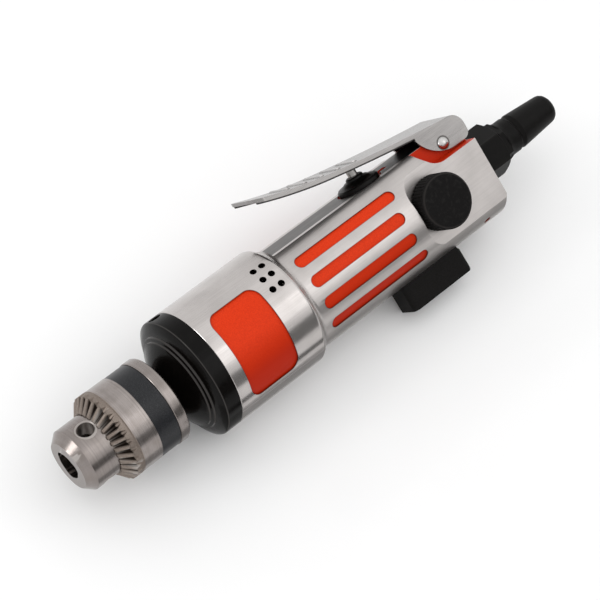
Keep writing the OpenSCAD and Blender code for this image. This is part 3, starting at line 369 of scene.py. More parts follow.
@dataclass(frozen=True)
class PaintedCasting:
    """Polished aluminium casting with orange-red paint left in its recesses."""

    name: str = "polished_casting"
    metal: Colour = (0.535, 0.505, 0.49)
    dull_metal: Colour = (0.46, 0.432, 0.418)
    # Painted dark reflection on the top flat under the lever, in two cloudy tones.
    flat_painted_reflection: Colour = (0.100, 0.092, 0.089)
    flat_painted_reflection_deep: Colour = (0.064, 0.059, 0.056)
    scratched: Layer = Layer((0.37, 0.347, 0.335), 0.22)
    dirt_and_shade: Layer = Layer((0.16, 0.15, 0.14), 0.7)
    paint: Colour = (0.71, 0.040, 0.005)
    paint_shade: Colour = (0.58, 0.028, 0.003)
    paint_painted_shade: Colour = (0.42, 0.016, 0.0015)
    notch_painted_shade: Colour = (0.17, 0.012, 0.005)
    paint_dirt_and_shade: Layer = Layer((0.16, 0.012, 0.006), 0.6)
    wall_painted_shade: Layer = Layer((0.075, 0.018, 0.011), 0.8)
    pocket_shade_share: float = 0.6
    polish: Span = (0.15, 0.23)
    polish_at: Span = (0.3, 0.75)
    satin: float = 0.21
    handle_share: float = 0.6
    paint_roughness: float = 0.42
    gloss: float = 0.1
    cloud: Pattern = Pattern(0.09, 4.0, (0.35, 0.7))
    scratch: Pattern = Pattern(2.6, 6.0, (0.42, 0.68), (0.03, 1.0, 1.0))
    pits: Pattern = Pattern(2.2, 3.0, (0.35, 0.75))
    relief: Relief = Relief(0.05, 0.005, 0.7)
    barrel_r_mm: float = 24.0
    handle_r_mm: float = 21.3
    recess_mm: float = 0.6
    line_mm: Span = (-0.42, 0.12)
    line_soft_mm: float = 0.08
    label_middle_x_mm: float = 74.75
    label_half_mm: Span = (10.85, 16.5)
    label_corner_mm: float = 4.0
    groove_x_mm: Span = (106.75, 146.85)
    outer_groove_extra_mm: float = 2.7
    groove_half_mm: float = 2.35
    groove_pitch_rad: float = math.radians(24.4)
    last_groove_rad: float = 0.85
    grooves: Box = Box((103.6, 153.0), (-24.0, 24.0), (-15.325, 15.325), 21.2)
    label: Box = Box((63.2, 86.4), (-24.0, 0.0), (-17.225, 17.225), 23.9)
    pocket: Box = Box((169.3, 193.75), (8.6, 15.44), (10.62, 18.62), 21.2, True)
    counterbore: Box = Box((140.5, 168.0), (-9.625, 9.625), (17.9, 18.64), 24.0)
    notch: Box = Box((182.0, 185.4), (-13.0, -7.0), (-20.3, -15.6), 21.2)
    # Heights over which painted shade darkens the paint towards the bottom.
    low_z_mm: Span = (-9.0, 3.0)
    # The top flat, which carries a painted dark reflection and a satin roughness.
    flat: Box = Box((99.0, 193.9), (-7.5, 7.5), (18.66, 18.76), 24.0, soft_y=0.2)
    side_flat_y_mm: Span = (15.4, 15.6)
    handle_from_mm: Span = (97.0, 102.0)

    def shaded_wall_lines(self, bench: ShaderBench) -> Socket:
        """Finds the thin line where the paint ends, round the label and the grooves, where shade on the
        recess walls is painted.

        Args:
            bench: The material's bench.

        Returns:
            1 on the line.
        """
        x, y, z = bench.axes
        half_x, half_z = (half - self.label_corner_mm for half in self.label_half_mm)
        over_x = bench.less(bench.off(x, self.label_middle_x_mm), half_x)
        over_z = bench.less(bench.size(z), half_z)
        inside = bench.math("MINIMUM", bench.largest(over_x, over_z), 0.0)
        outside = bench.total(bench.length(over_x, over_z), inside)
        label_line = bench.times(
            bench.within(bench.less(outside, self.label_corner_mm), *self.line_mm, self.line_soft_mm),
            bench.fall(y, -EDGE_MM, 2.0 * EDGE_MM),
            bench.rise(bench.radius, self.barrel_r_mm - self.recess_mm),
        )
        pitch = self.groove_pitch_rad
        turn = bench.size(bench.math("ARCTAN2", z, bench.size(y)))
        outer = bench.rise(turn, pitch - TURN_SOFT_RAD / 2.0, TURN_SOFT_RAD)
        aside = bench.times(bench.off(bench.off(turn, pitch), pitch / 2.0), self.handle_r_mm)
        from_x, to_x = self.groove_x_mm
        end_x = bench.total(bench.times(outer, self.outer_groove_extra_mm), to_x)
        past_end = bench.largest(bench.less(x, end_x), bench.less(from_x, x))
        outside = bench.length(past_end, aside)
        groove_lines = bench.times(
            bench.within(bench.less(outside, self.groove_half_mm), *self.line_mm, self.line_soft_mm),
            bench.fall(turn, self.last_groove_rad, TURN_SOFT_RAD),
            bench.rise(bench.radius, self.handle_r_mm - self.recess_mm),
            bench.fall(bench.radius, self.handle_r_mm + SOFT_MM),
        )
        return bench.largest(label_line, groove_lines)

    def paint_colour(self, bench: ShaderBench, pits: Socket) -> Socket:
        """Colours the paint, with painted shade low down, in the pocket under the lever and in the rear
        notch.

        Args:
            bench: The material's bench.
            pits: The pattern that the paint is uneven by.

        Returns:
            The colour.
        """
        _, _, z = bench.axes
        # Painted shade: the paint darkens towards the bottom and in the pocket under the lever.
        shaded = bench.times(bench.inside(self.pocket), self.pocket_shade_share)
        low = bench.ramp(z, *self.low_z_mm, 1.0, 0.0)
        paint = bench.mix(bench.ramp(pits, *self.pits.at), self.paint, self.paint_shade)
        paint = bench.mix(bench.largest(low, shaded), paint, self.paint_painted_shade)
        # Painted shade in the small rear notch.
        paint = bench.mix(bench.inside(self.notch), paint, self.notch_painted_shade)
        # Dirt together with painted shade in the paint's concave corners.
        return bench.tint(paint, bench.hollows(), self.paint_dirt_and_shade)

    def build(self) -> Material:
        """Builds the material.

        Returns:
            The material.
        """
        bench = ShaderBench(self.name)
        x, y, _ = bench.axes
        scratch = bench.noise(self.scratch)
        pits = bench.noise(self.pits)
        clouded = bench.ramp(bench.noise(self.cloud), *self.cloud.at)
        flat = bench.inside(self.flat)
        metal = bench.mix(clouded, self.metal, self.dull_metal)
        metal = bench.tint(metal, bench.ramp(scratch, *self.scratch.at), self.scratched)
        # Dirt together with painted shade in concave corners.
        metal = bench.tint(metal, bench.hollows(), self.dirt_and_shade)
        # Paints a dark reflection over the top flat.
        metal = bench.mix(flat, metal, bench.mix(clouded, self.flat_painted_reflection, self.flat_painted_reflection_deep))
        recesses = (self.grooves, self.label, self.pocket, self.counterbore, self.notch)
        painted = bench.largest(*map(bench.inside, recesses))
        colour = bench.mix(painted, metal, self.paint_colour(bench, pits))
        # Paints shade along the recess walls round the paint.
        colour = bench.tint(colour, self.shaded_wall_lines(bench), self.wall_painted_shade)
        handle = bench.ramp(x, *self.handle_from_mm, 0.0, self.handle_share)
        dulled = bench.largest(bench.within(bench.size(y), *self.side_flat_y_mm), flat, handle)
        polish = bench.ramp(scratch, *self.polish_at, *self.polish)
        polish = bench.total(polish, bench.times(dulled, self.satin))
        bare = bench.less(1.0, painted)
        rough = bench.total(bench.times(polish, bare), bench.times(painted, self.paint_roughness))
        bench.bump(self.relief, scratch, pits)
        return bench.surface(colour, rough, bare, self.gloss)


@dataclass(frozen=True)
class ChuckSteel:
    """Turned chuck steel, blasted round the teeth and black on the size band, with painted shade in the tooth
    gaps.
    """

    name: str = "chuck_steel"
    metal: Colour = (0.20, 0.177, 0.167)
    bright: Colour = (0.32, 0.286, 0.271)
    roughness: Span = (0.17, 0.27)
    key_hole_turns_deg: tuple[float, ...] = ()
    has_zones: bool = False
    blasted: Colour = (0.19, 0.155, 0.13)
    blasted_light: Colour = (0.29, 0.245, 0.215)
    # Painted shade deep in the gaps between the crown's teeth.
    gap_painted_shade: Colour = (0.018, 0.013, 0.010)
    band: Colour = (0.0055, 0.006, 0.008)
    band_light: Colour = (0.030, 0.031, 0.034)
    # Painted light inside the key holes, with a painted highlight on their chamfers.
    key_hole_painted_light: Colour = (0.37, 0.34, 0.32)
    smudge: Layer = Layer((0.20, 0.17, 0.15), 0.5)
    dirt_and_shade: Layer = Layer((0.03, 0.026, 0.022), 0.85)
    wear: Layer = Layer((0.62, 0.59, 0.56), 0.45)
    rough_at: Span = (0.2, 0.8)
    blasted_roughness: float = 0.5
    band_roughness: float = 0.33
    drilled_roughness: float = 0.42
    gloss: float = 0.3
    turned: Pattern = Pattern(13.2)
    cloud: Pattern = Pattern(0.25, 4.0, (0.45, 0.8))
    speck: Pattern = Pattern(3.2)
    relief: Relief = Relief(0.12, 0.02, 0.4)
    blasted_x_mm: Span = (12.9, 20.15)
    band_x_mm: Span = (28.13, 36.45)
    band_r_mm: Span = (16.91, 16.93)
    crown_x_mm: float = 13.0
    crown_r_mm: float = 12.95
    crown_rise: float = 1.22
    gap_depth_mm: Span = (0.5, 1.3)
    gap_end_x_mm: Span = (17.0, 17.3)
    key_hole_x_mm: float = 9.6
    key_hole_r_mm: float = 3.95

    def key_hole_mask(self, bench: ShaderBench) -> Socket:
        """Finds the key holes and their chamfers, where light is painted.

        Args:
            bench: The material's bench.

        Returns:
            1 in the holes.
        """
        x, y, z = bench.axes
        holes = []
        for turn in self.key_hole_turns_deg:
            along_y = -math.sin(math.radians(turn))
            along_z = math.cos(math.radians(turn))
            out = bench.total(bench.times(y, along_y), bench.times(z, along_z))
            aside = bench.less(bench.times(z, along_y), bench.times(y, along_z))
            from_hole = bench.length(bench.off(x, self.key_hole_x_mm), bench.size(aside))
            holes.append(bench.times(bench.fall(from_hole, self.key_hole_r_mm), bench.rise(out, 0.0)))
        return bench.largest(*holes)

    def build(self) -> Material:
        """Builds the material.

        Returns:
            The material.
        """
        bench = ShaderBench(self.name)
        x, _, _ = bench.axes
        rings = bench.rings(self.turned)
        speck = bench.noise(self.speck)
        colour = bench.mix(bench.ramp(rings, *self.turned.at), self.metal, self.bright)
        colour = bench.tint(colour, bench.ramp(bench.noise(self.cloud), *self.cloud.at), self.smudge)
        rough = bench.ramp(rings, *self.rough_at, *self.roughness)
        metallic: object = 1.0
        if self.has_zones:
            blast = bench.within(x, *self.blasted_x_mm)
            grit = bench.mix(bench.ramp(speck, *self.speck.at), self.blasted, self.blasted_light)
            # Painted shade deep in the gaps between the crown's teeth.
            cone = bench.total(bench.times(bench.less(x, self.crown_x_mm), self.crown_rise), self.crown_r_mm)
            deep = bench.ramp(bench.less(cone, bench.radius), *self.gap_depth_mm)
            shaded_gaps = bench.times(deep, bench.ramp(x, *self.gap_end_x_mm, 1.0, 0.0))
            colour = bench.mix(blast, colour, bench.mix(shaded_gaps, grit, self.gap_painted_shade))
            rough = bench.at_least(rough, blast, self.blasted_roughness)
            below = bench.ramp(bench.radius, *self.band_r_mm, 1.0, 0.0)
            band = bench.times(bench.within(x, *self.band_x_mm), below)
            blacked = bench.mix(bench.ramp(speck, *self.cloud.at), self.band, self.band_light)
            colour = bench.mix(band, colour, blacked)
            rough = bench.at_least(rough, band, self.band_roughness)
            metallic = bench.less(1.0, band)
        # Dirt together with painted shade in concave corners.
        colour = bench.tint(colour, bench.hollows(), self.dirt_and_shade)
        colour = bench.tint(colour, bench.edges(), self.wear)
        # Painted light inside the key holes, with a painted highlight on their chamfers.
        if self.key_hole_turns_deg:
            key_hole_painted_light = self.key_hole_mask(bench)
            colour = bench.mix(key_hole_painted_light, colour, self.key_hole_painted_light)
            rough = bench.at_least(rough, key_hole_painted_light, self.drilled_roughness)
        bench.bump(self.relief, rings, speck)
        return bench.surface(colour, rough, metallic, self.gloss)


@dataclass(frozen=True)
class BlackOxide:
    """Blackened steel with a soft gloss, with grey wear on its edges, and painted glints instead where rings
    are named.
    """

    name: str = "black_oxide"
    black: Colour = (0.0022, 0.0018, 0.0015)
    wear_and_highlight: Layer = Layer((0.040, 0.036, 0.032), 0.55)
    roughness: Span = (0.27, 0.43)
    gloss: float = 0.16
    relief: Relief = Relief(0.15, 0.03, 0.7)
    # Rings that carry painted glints instead of the edge wear.
    glint_rings_mm: tuple[Span, ...] = ()
    ring_soft_mm: float = 0.08
    faded: Layer = Layer((0.006, 0.005, 0.0045), 0.6)
    rough_at: Span = (0.25, 0.8)
    turned: Pattern = Pattern(9.6)
    cloud: Pattern = Pattern(0.5, 5.0, (0.5, 0.85))
    grit: Pattern = Pattern(4.0)

    def build(self) -> Material:
        """Builds the material.

        Returns:
            The material.
        """
        bench = ShaderBench(self.name)
        rings = bench.rings(self.turned)
        colour = bench.tint(self.black, bench.ramp(bench.noise(self.cloud), *self.cloud.at), self.faded)
        # Named rings carry painted glints; otherwise the edges show wear.
        if self.glint_rings_mm:
            soft = self.ring_soft_mm
            wear_and_highlight = bench.largest(*(bench.within(bench.radius, *ring, soft) for ring in self.glint_rings_mm))
        else:
            wear_and_highlight = bench.edges()
        colour = bench.tint(colour, wear_and_highlight, self.wear_and_highlight)
        rough = bench.ramp(rings, *self.rough_at, *self.roughness)
        bench.bump(self.relief, rings, bench.noise(self.grit))
        return bench.surface(colour, rough, 0.0, self.gloss)


@dataclass(frozen=True)
class PebbledBlack:
    """Black coating of the knob, with a coarse cast texture and a rubbed rim that carries a painted
    highlight.
    """

    name: str = "pebbled_black"
    black: Colour = (0.0035, 0.003, 0.003)
    wear_and_highlight: Colour = (0.018, 0.016, 0.015)
    faded: Layer = Layer((0.020, 0.019, 0.018), 0.7)
    roughness: Span = (0.60, 0.82)
    rough_at: Span = (0.3, 0.8)
    gloss: float = 0.12
    axis_x_mm: float = 166.0
    rim_mm: Span = (9.65, 10.15)
    rim_soft_mm: float = 0.15
    pebble_per_mm: float = 1.5
    cloud: Pattern = Pattern(0.8, 6.0, (0.5, 0.8))
    relief: Relief = Relief(0.55, 0.16, 0.6)

    def build(self) -> Material:
        """Builds the material.

        Returns:
            The material.
        """
        bench = ShaderBench(self.name)
        x, _, z = bench.axes
        cells = bench.add("ShaderNodeTexVoronoi")
        cells.feature = "SMOOTH_F1"
        bench.feed(cells.inputs["Vector"], bench.place)
        bench.feed(cells.inputs["Scale"], self.pebble_per_mm)
        cloud = bench.noise(self.cloud)
        colour = bench.tint(self.black, bench.ramp(cloud, *self.cloud.at), self.faded)
        from_axis = bench.length(bench.off(x, self.axis_x_mm), bench.size(z))
        # The rim's lighter ring is wear together with a painted highlight.
        colour = bench.mix(bench.within(from_axis, *self.rim_mm, self.rim_soft_mm), colour, self.wear_and_highlight)
        bench.bump(self.relief, cloud, cells.outputs["Distance"])
        return bench.surface(colour, bench.ramp(cloud, *self.rough_at, *self.roughness), 0.0, self.gloss)


@dataclass(frozen=True)
class BrushedSheet:
    """Nickel-plated sheet steel brushed along its length, with painted shade and highlights on the lever's
    form.
    """

    name: str = "brushed_sheet"
    metal: Colour = (0.285, 0.273, 0.268)
    shade: Colour = (0.215, 0.205, 0.200)
    # Painted shadow round the pin head.
    ring: Colour = (0.07, 0.065, 0.06)
    smudge: Layer = Layer((0.30, 0.285, 0.275), 0.35)
    dirt_and_shade: Layer = Layer((0.10, 0.095, 0.09), 0.6)
    wear: Layer = Layer((0.80, 0.78, 0.76), 0.4)
    # Painted shade at the ridges' feet and a painted highlight on their crests.
    foot_painted_shade: Layer = Layer((0.06, 0.056, 0.054), 0.6)
    crest_painted_highlight: Layer = Layer((0.62, 0.60, 0.59), 0.45)
    # Painted shade along the lower edge of the folded sides.
    skirt_painted_shade: Layer = Layer((0.022, 0.020, 0.019), 0.95)
    roughness: Span = (0.19, 0.31)
    brushed: Pattern = Pattern(3.4, 4.0, (0.2, 0.8), (0.02, 1.0, 1.0))
    cloud: Pattern = Pattern(0.22, 5.0, (0.5, 0.8))
    relief: Relief = Relief(0.06, 0.012, 0.4)
    pin_x_mm: float = 184.0
    pin_z_mm: float = 15.2
    ring_r_mm: Span = (2.2, 2.75)
    ring_soft_mm: float = 0.2
    ridges: int = 5
    first_ridge_x_mm: float = 121.4
    ridge_pitch_mm: float = 7.2
    ridge_y_mm: Span = (6.6, 7.0)
    crest_mm: float = 1.0
    foot_mm: float = 1.2
    foot_soft_mm: float = 0.45
    end_mm: Span = (190.5, 22.35)
    end_slope: float = 0.125
    end_curve_mm: float = 760.0
    knee_x_mm: float = 137.0
    knee_curve_mm: float = 180.0
    skirt_x_mm: Span = (100.0, 174.5)
    skirt_depth_mm: Span = (1.62, 2.6)
    skirt_soft_mm: float = 0.12

    def ridge_masks(self, bench: ShaderBench) -> tuple[Socket, Socket]:
        """Finds the pressed ridges.

        Args:
            bench: The material's bench.

        Returns:
            1 at the ridges' feet, where shade is painted, and 1 on their crests, where a highlight is
            painted.
        """
        x, y, _ = bench.axes
        half_pitch = self.ridge_pitch_mm / 2.0
        last_x = self.first_ridge_x_mm + (self.ridges - 1) * self.ridge_pitch_mm
        from_ridge = bench.math("PINGPONG", bench.less(x, self.first_ridge_x_mm), half_pitch)
        on_ridges = bench.times(
            bench.within(x, self.first_ridge_x_mm - half_pitch, last_x + half_pitch),
            bench.ramp(bench.size(y), *self.ridge_y_mm, 1.0, 0.0),
        )
        shaded_feet = bench.within(from_ridge, self.crest_mm, self.crest_mm + self.foot_mm, self.foot_soft_mm)
        lit_crests = bench.ramp(from_ridge, 0.0, self.crest_mm, 1.0, 0.0)
        return bench.times(shaded_feet, on_ridges), bench.times(lit_crests, on_ridges)

    def skirt_mask(self, bench: ShaderBench) -> Socket:
        """Finds the lower edge of the folded sides, which lies in shade, by the depth under the lever's top.

        Args:
            bench: The material's bench.

        Returns:
            1 along the edge.
        """
        x, _, z = bench.axes
        end_x, end_z = self.end_mm
        end_bend = 0.5 / self.end_curve_mm
        knee_bend = 0.5 / self.knee_curve_mm - end_bend
        run = bench.less(end_x, x)
        past_knee = bench.largest(bench.less(self.knee_x_mm, x), 0.0)
        top = bench.total(
            bench.times(run, self.end_slope),
            bench.times(run, run, end_bend),
            bench.times(past_knee, past_knee, knee_bend),
            end_z,
        )
        depth = bench.less(top, z)
        edge = bench.within(depth, *self.skirt_depth_mm, self.skirt_soft_mm)
        return bench.times(edge, bench.within(x, *self.skirt_x_mm))

    def build(self) -> Material:
        """Builds the material.

        Returns:
            The material.
        """
        bench = ShaderBench(self.name)
        x, _, z = bench.axes
        lines = bench.noise(self.brushed)
        cloud = bench.noise(self.cloud)
        shaded_feet, lit_crests = self.ridge_masks(bench)
        colour = bench.mix(bench.ramp(lines, *self.brushed.at), self.metal, self.shade)
        for mask, layer in (
            (bench.ramp(cloud, *self.cloud.at), self.smudge),
            # Dirt together with painted shade in concave corners.
            (bench.hollows(), self.dirt_and_shade),
            (bench.edges(), self.wear),
            # Painted shade at the ridges' feet and a painted highlight on their crests.
            (shaded_feet, self.foot_painted_shade),
            (lit_crests, self.crest_painted_highlight),
            # Painted shade along the lower edge of the folded sides.
            (self.skirt_mask(bench), self.skirt_painted_shade),
        ):
            colour = bench.tint(colour, mask, layer)
        # Painted shadow in a ring round the pin head.
        from_pin = bench.length(bench.off(x, self.pin_x_mm), bench.off(z, self.pin_z_mm))
        colour = bench.mix(bench.within(from_pin, *self.ring_r_mm, self.ring_soft_mm), colour, self.ring)
        bench.bump(self.relief, lines, cloud)
        return bench.surface(colour, bench.ramp(lines, *self.brushed.at, *self.roughness), 1.0)


@dataclass(frozen=True)
class MachinedMetal:
    """Machined or ground metal of an inner piece, with a film of oil."""

    name: str
    metal: Colour
    shade: Colour
    roughness: Span
    dirt_and_shade: Layer = Layer((0.04, 0.035, 0.03), 0.6)
    turned: Pattern = Pattern(10.8)
    oil: Pattern = Pattern(0.4, 4.0, (0.3, 0.8))
    relief: Relief = Relief(0.15, 0.02)

    def build(self) -> Material:
        """Builds the material.

        Returns:
            The material.
        """
        bench = ShaderBench(self.name)
        rings = bench.rings(self.turned)
        colour = bench.mix(bench.ramp(rings, *self.turned.at), self.metal, self.shade)
        # Dirt together with painted shade in concave corners.
        colour = bench.tint(colour, bench.hollows(), self.dirt_and_shade)
        rough = bench.ramp(bench.noise(self.oil), *self.oil.at, *self.roughness)
        bench.bump(self.relief, rings)
        return bench.surface(colour, rough, 1.0)


@dataclass(frozen=True)
class SoftOrFibrous:
    """Rubber, felt, plastic or fibre sheet, with a fine uneven surface."""

    name: str
    colour: Colour
    shade: Colour
    roughness: Span
    fleck_per_mm: float
    relief: Relief
    stretch: Triple = (1.0, 1.0, 1.0)
    gloss: float = 0.1
    detail: float = 6.0
    fleck_at: Span = (0.35, 0.7)
    rough_at: Span = (0.3, 0.8)

    def build(self) -> Material:
        """Builds the material.

        Returns:
            The material.
        """
        bench = ShaderBench(self.name)
        fleck = bench.noise(Pattern(self.fleck_per_mm, self.detail, self.fleck_at, self.stretch))
        colour = bench.mix(bench.ramp(fleck, *self.fleck_at), self.colour, self.shade)
        bench.bump(self.relief, fleck)
        return bench.surface(colour, bench.ramp(fleck, *self.rough_at, *self.roughness), 0.0, self.gloss)


MetalFinish = PaintedCasting | ChuckSteel | BlackOxide | BrushedSheet | MachinedMetal
Finish = MetalFinish | PebbledBlack | SoftOrFibrous


@cache
def material(finish: Finish) -> Material:
    """Returns the finish's material, built once."""
    return finish.build()


@dataclass
class Subassembly:
    """A group of pieces that is built and dressed together.

    Points closer than weld_mm are joined, and so are faces that turn less than flat_deg. Edges that turn more
    than sharp_deg are broken, and those that turn less than smooth_deg are shaded smooth.
    """

    body: str = "tool"
    made: list[Piece] = field(default_factory=list)
    weld_mm: float = 0.002
    flat_deg: float = 0.4
    sharp_deg: float = 35.0
    smooth_deg: float = 30.0

    def soften(
        self, node: str, slot: Slot, finish: Finish, edge_mm: float, steps: int = 2, body: str = ""
    ) -> None:
        """Adds a copy of a CAD node with its flats joined and its edges broken, as polishing leaves them.

        Args:
            node: The CAD node's name.
            slot: The record's material slot. It is not used.
            finish: The finish that it shows.
            edge_mm: The width of the broken edges.
            steps: The number of faces across an edge.
            body: The body that it rides on, where it isn't the sub-assembly's own.
        """
        bpy.ops.object.select_all(action="DESELECT")
        piece = bpy.data.objects.new(f"{node}_finished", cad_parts[node].data.copy())
        bpy.context.scene.collection.objects.link(piece)
        piece.select_set(True)
        bpy.context.view_layer.objects.active = piece
        bpy.ops.mesh.customdata_custom_splitnormals_clear()
        bpy.ops.object.mode_set(mode="EDIT")
        bpy.ops.mesh.select_all(action="SELECT")
        bpy.ops.mesh.remove_doubles(threshold=self.weld_mm / MM_PER_M)
        bpy.ops.mesh.dissolve_limited(angle_limit=math.radians(self.flat_deg), delimit={"NORMAL"})
        bpy.ops.object.mode_set(mode="OBJECT")
        bevel = piece.modifiers.new("broken edges", "BEVEL")
        bevel.width = edge_mm / MM_PER_M
        bevel.segments = steps
        bevel.limit_method = "ANGLE"
        bevel.angle_limit = math.radians(self.sharp_deg)
        bpy.ops.object.modifier_apply(modifier=bevel.name)
        bpy.ops.object.shade_smooth_by_angle(angle=math.radians(self.smooth_deg))
        flats = piece.modifiers.new("true flats", "WEIGHTED_NORMAL")
        flats.keep_sharp = True
        bpy.ops.object.modifier_apply(modifier=flats.name)
        piece.data.materials.clear()
        piece.data.materials.append(material(finish))
        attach(piece, body or self.body)
        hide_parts(node)
        self.made.append(piece)
        log.info("%s: edges broken %.2f mm, %d faces", node, edge_mm, len(piece.data.polygons))

    def dress(self, finish: Finish, *nodes: str) -> None:
        """Gives CAD nodes their material.

        Args:
            finish: The finish that they show.
            nodes: The CAD nodes' names.
        """
        for node in nodes:
            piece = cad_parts[node]
            piece.data.materials.clear()
            piece.data.materials.append(material(finish))
            log.info("%s dressed in %s", node, finish.name)


BRIGHT = MachinedMetal("bright_steel", (0.62, 0.61, 0.60), (0.50, 0.49, 0.48), (0.22, 0.34))
BRASS = MachinedMetal("brass", (0.72, 0.52, 0.24), (0.58, 0.40, 0.17), (0.25, 0.37))
RUBBER = SoftOrFibrous(
    "black_rubber", (0.016, 0.016, 0.016), (0.028, 0.027, 0.026), (0.56, 0.68), 2.0, Relief(0.5, 0.02)
)


@dataclass
class Casting(Subassembly):
    """The polished housing, with paint in its recesses."""

    finish: PaintedCasting = PaintedCasting()
    edge_mm: float = 0.3

    def build(self) -> None:
        """Builds the housing."""
        self.soften("housing", Slot.ALUMINIUM, self.finish, self.edge_mm, steps=3)


@dataclass
class FrontEnd(Subassembly):
    """The clamp nut, and the spindle with its bearings and its planetary gear."""

    # The nut's named rings carry painted glints.
    nut: BlackOxide = BlackOxide(
        "black_nut", wear_and_highlight=Layer((0.075, 0.070, 0.066), 0.55), roughness=(0.12, 0.28), gloss=0.10,
        relief=Relief(0.06, 0.03, 0.7), glint_rings_mm=((17.60, 17.88), (19.0, 19.35), (23.6, 23.85)),
    )
    oiled: MachinedMetal = MachinedMetal("oiled_steel", (0.16, 0.15, 0.14), (0.10, 0.095, 0.09), (0.3, 0.42))
    dark: BlackOxide = BlackOxide(
        "black_spindle", (0.014, 0.008, 0.006), Layer((0.05, 0.035, 0.028), 0.55), (0.3, 0.46), 0.3
    )
    nut_edge_mm: float = 0.45

    def build(self) -> None:
        """Builds the nut and dresses what turns inside it."""
        self.soften("clamp_nut", Slot.BLACK_OXIDE, self.nut, self.nut_edge_mm, steps=3)
        self.dress(self.dark, "spindle")
        self.dress(BRIGHT, "spindle_bearing_front", "spindle_bearing_rear")
        self.dress(self.oiled, "ring_gear")
        self.dress(BRIGHT, "planet_gear_1", "planet_gear_2", "planet_gear_3", "planet_pins")
        self.dress(BRASS, "planet_bushes")


@dataclass
class KeyedChuck(Subassembly):
    """The chuck's body and toothed sleeve, with the jaws and the nut that drives them."""

    body: str = "output_spindle"
    plain: ChuckSteel = ChuckSteel("turned_steel", key_hole_turns_deg=(44.0, 164.0, 284.0))
    zoned: ChuckSteel = ChuckSteel(
        "sleeve_steel", (0.235, 0.210, 0.199), (0.38, 0.342, 0.325), has_zones=True
    )
    dark: ChuckSteel = ChuckSteel("jaw_steel", (0.12, 0.11, 0.10), (0.20, 0.185, 0.17), (0.36, 0.46))
    nose_edge_mm: float = 0.35
    sleeve_edge_mm: float = 0.16
    jaw_edge_mm: float = 0.12

    def build(self) -> None:
        """Builds the chuck."""
        self.soften("chuck_body", Slot.SATIN_STEEL, self.plain, self.nose_edge_mm)
        self.soften("chuck_sleeve", Slot.SATIN_STEEL, self.zoned, self.sleeve_edge_mm, body="chuck_sleeve")
        for number in (1, 2, 3):
            jaw = f"jaw_{number}"
            self.soften(jaw, Slot.SATIN_STEEL, self.dark, self.jaw_edge_mm, body=jaw)
        self.dress(self.dark, "split_nut")
        self.dress(BlackOxide(), "chuck_screw")


@dataclass
class VaneMotor(Subassembly):
    """The motor's cylinder, end plates, rotor and vanes."""

    vane: SoftOrFibrous = SoftOrFibrous(
        "vane_fibre", (0.27, 0.13, 0.055), (0.36, 0.19, 0.09), (0.54, 0.66), 1.2,
        Relief(0.5, 0.03), (0.1, 1.0, 1.0),
    )

    def build(self) -> None:
        """Dresses the motor."""
        self.dress(BRIGHT, "front_end_plate", "motor_cylinder", "rear_end_plate", "motor_dowel")
        self.dress(BRIGHT, "rotor_bearing_front", "rotor_bearing_rear", "rotor")
        self.dress(RUBBER, "motor_gasket")
        self.dress(self.vane, "vanes")


@dataclass
class Throttle(Subassembly):
    """The sheet lever on its pin, with the valve that it opens."""

    sheet: BrushedSheet = BrushedSheet()
    stem: MachinedMetal = MachinedMetal("stem_steel", (0.34, 0.33, 0.32), (0.24, 0.23, 0.22), (0.24, 0.36))
    black: BlackOxide = BlackOxide("black_bushing", roughness=(0.3, 0.46))
    lever_edge_mm: float = 0.22
    bushing_edge_mm: float = 0.15
    pin_edge_mm: float = 0.2

    def build(self) -> None:
        """Builds the lever, its pin and the valve."""
        self.soften("throttle_lever", Slot.SHEET_STEEL, self.sheet, self.lever_edge_mm, body="lever")
        self.soften("lever_pin", Slot.BRIGHT_STEEL, BRIGHT, self.pin_edge_mm)
        self.soften("valve_bushing", Slot.BLACK_OXIDE, self.black, self.bushing_edge_mm)
        self.dress(self.stem, "valve_stem")
        self.dress(BRIGHT, "valve_ball", "throttle_spring")
        self.dress(RUBBER, "bushing_o_ring")


@dataclass
class ReversingValve(Subassembly):
    """The pebbled knob, with the spool that it turns and the detent that holds it."""

    body: str = "reverse"
    pebbled: PebbledBlack = PebbledBlack()
    black: BlackOxide = BlackOxide("black_screw", roughness=(0.34, 0.50))
    knob_edge_mm: float = 0.3
    screw_edge_mm: float = 0.2

    def build(self) -> None:
        """Builds the knob and dresses the spool."""
        self.soften("reverse_knob", Slot.BLACK_OXIDE, self.pebbled, self.knob_edge_mm)
        self.soften("spool_screw", Slot.BLACK_OXIDE, self.black, self.screw_edge_mm)
        self.dress(BRASS, "reverse_spool")
        self.dress(RUBBER, "spool_o_rings")
        self.dress(BRIGHT, "detent_ball", "detent_spring")


@dataclass
class Exhaust(Subassembly):
    """The deflector block under the handle, with its felt and its screw."""

    plastic: SoftOrFibrous = SoftOrFibrous(
        "black_plastic", (0.006, 0.0055, 0.005), (0.011, 0.010, 0.010), (0.42, 0.54), 2.6,
        Relief(0.5, 0.03), gloss=0.06,
    )
    felt: SoftOrFibrous = SoftOrFibrous(
        "grey_felt", (0.22, 0.21, 0.20), (0.31, 0.30, 0.28), (0.84, 0.96), 1.8, Relief(0.5, 0.12)
    )
    edge_mm: float = 0.4

    def build(self) -> None:
        """Builds the deflector."""
        self.soften("exhaust_deflector", Slot.BLACK_PLASTIC, self.plastic, self.edge_mm)
        self.dress(self.felt, "silencer_felt")
        self.dress(BlackOxide(), "deflector_screw")


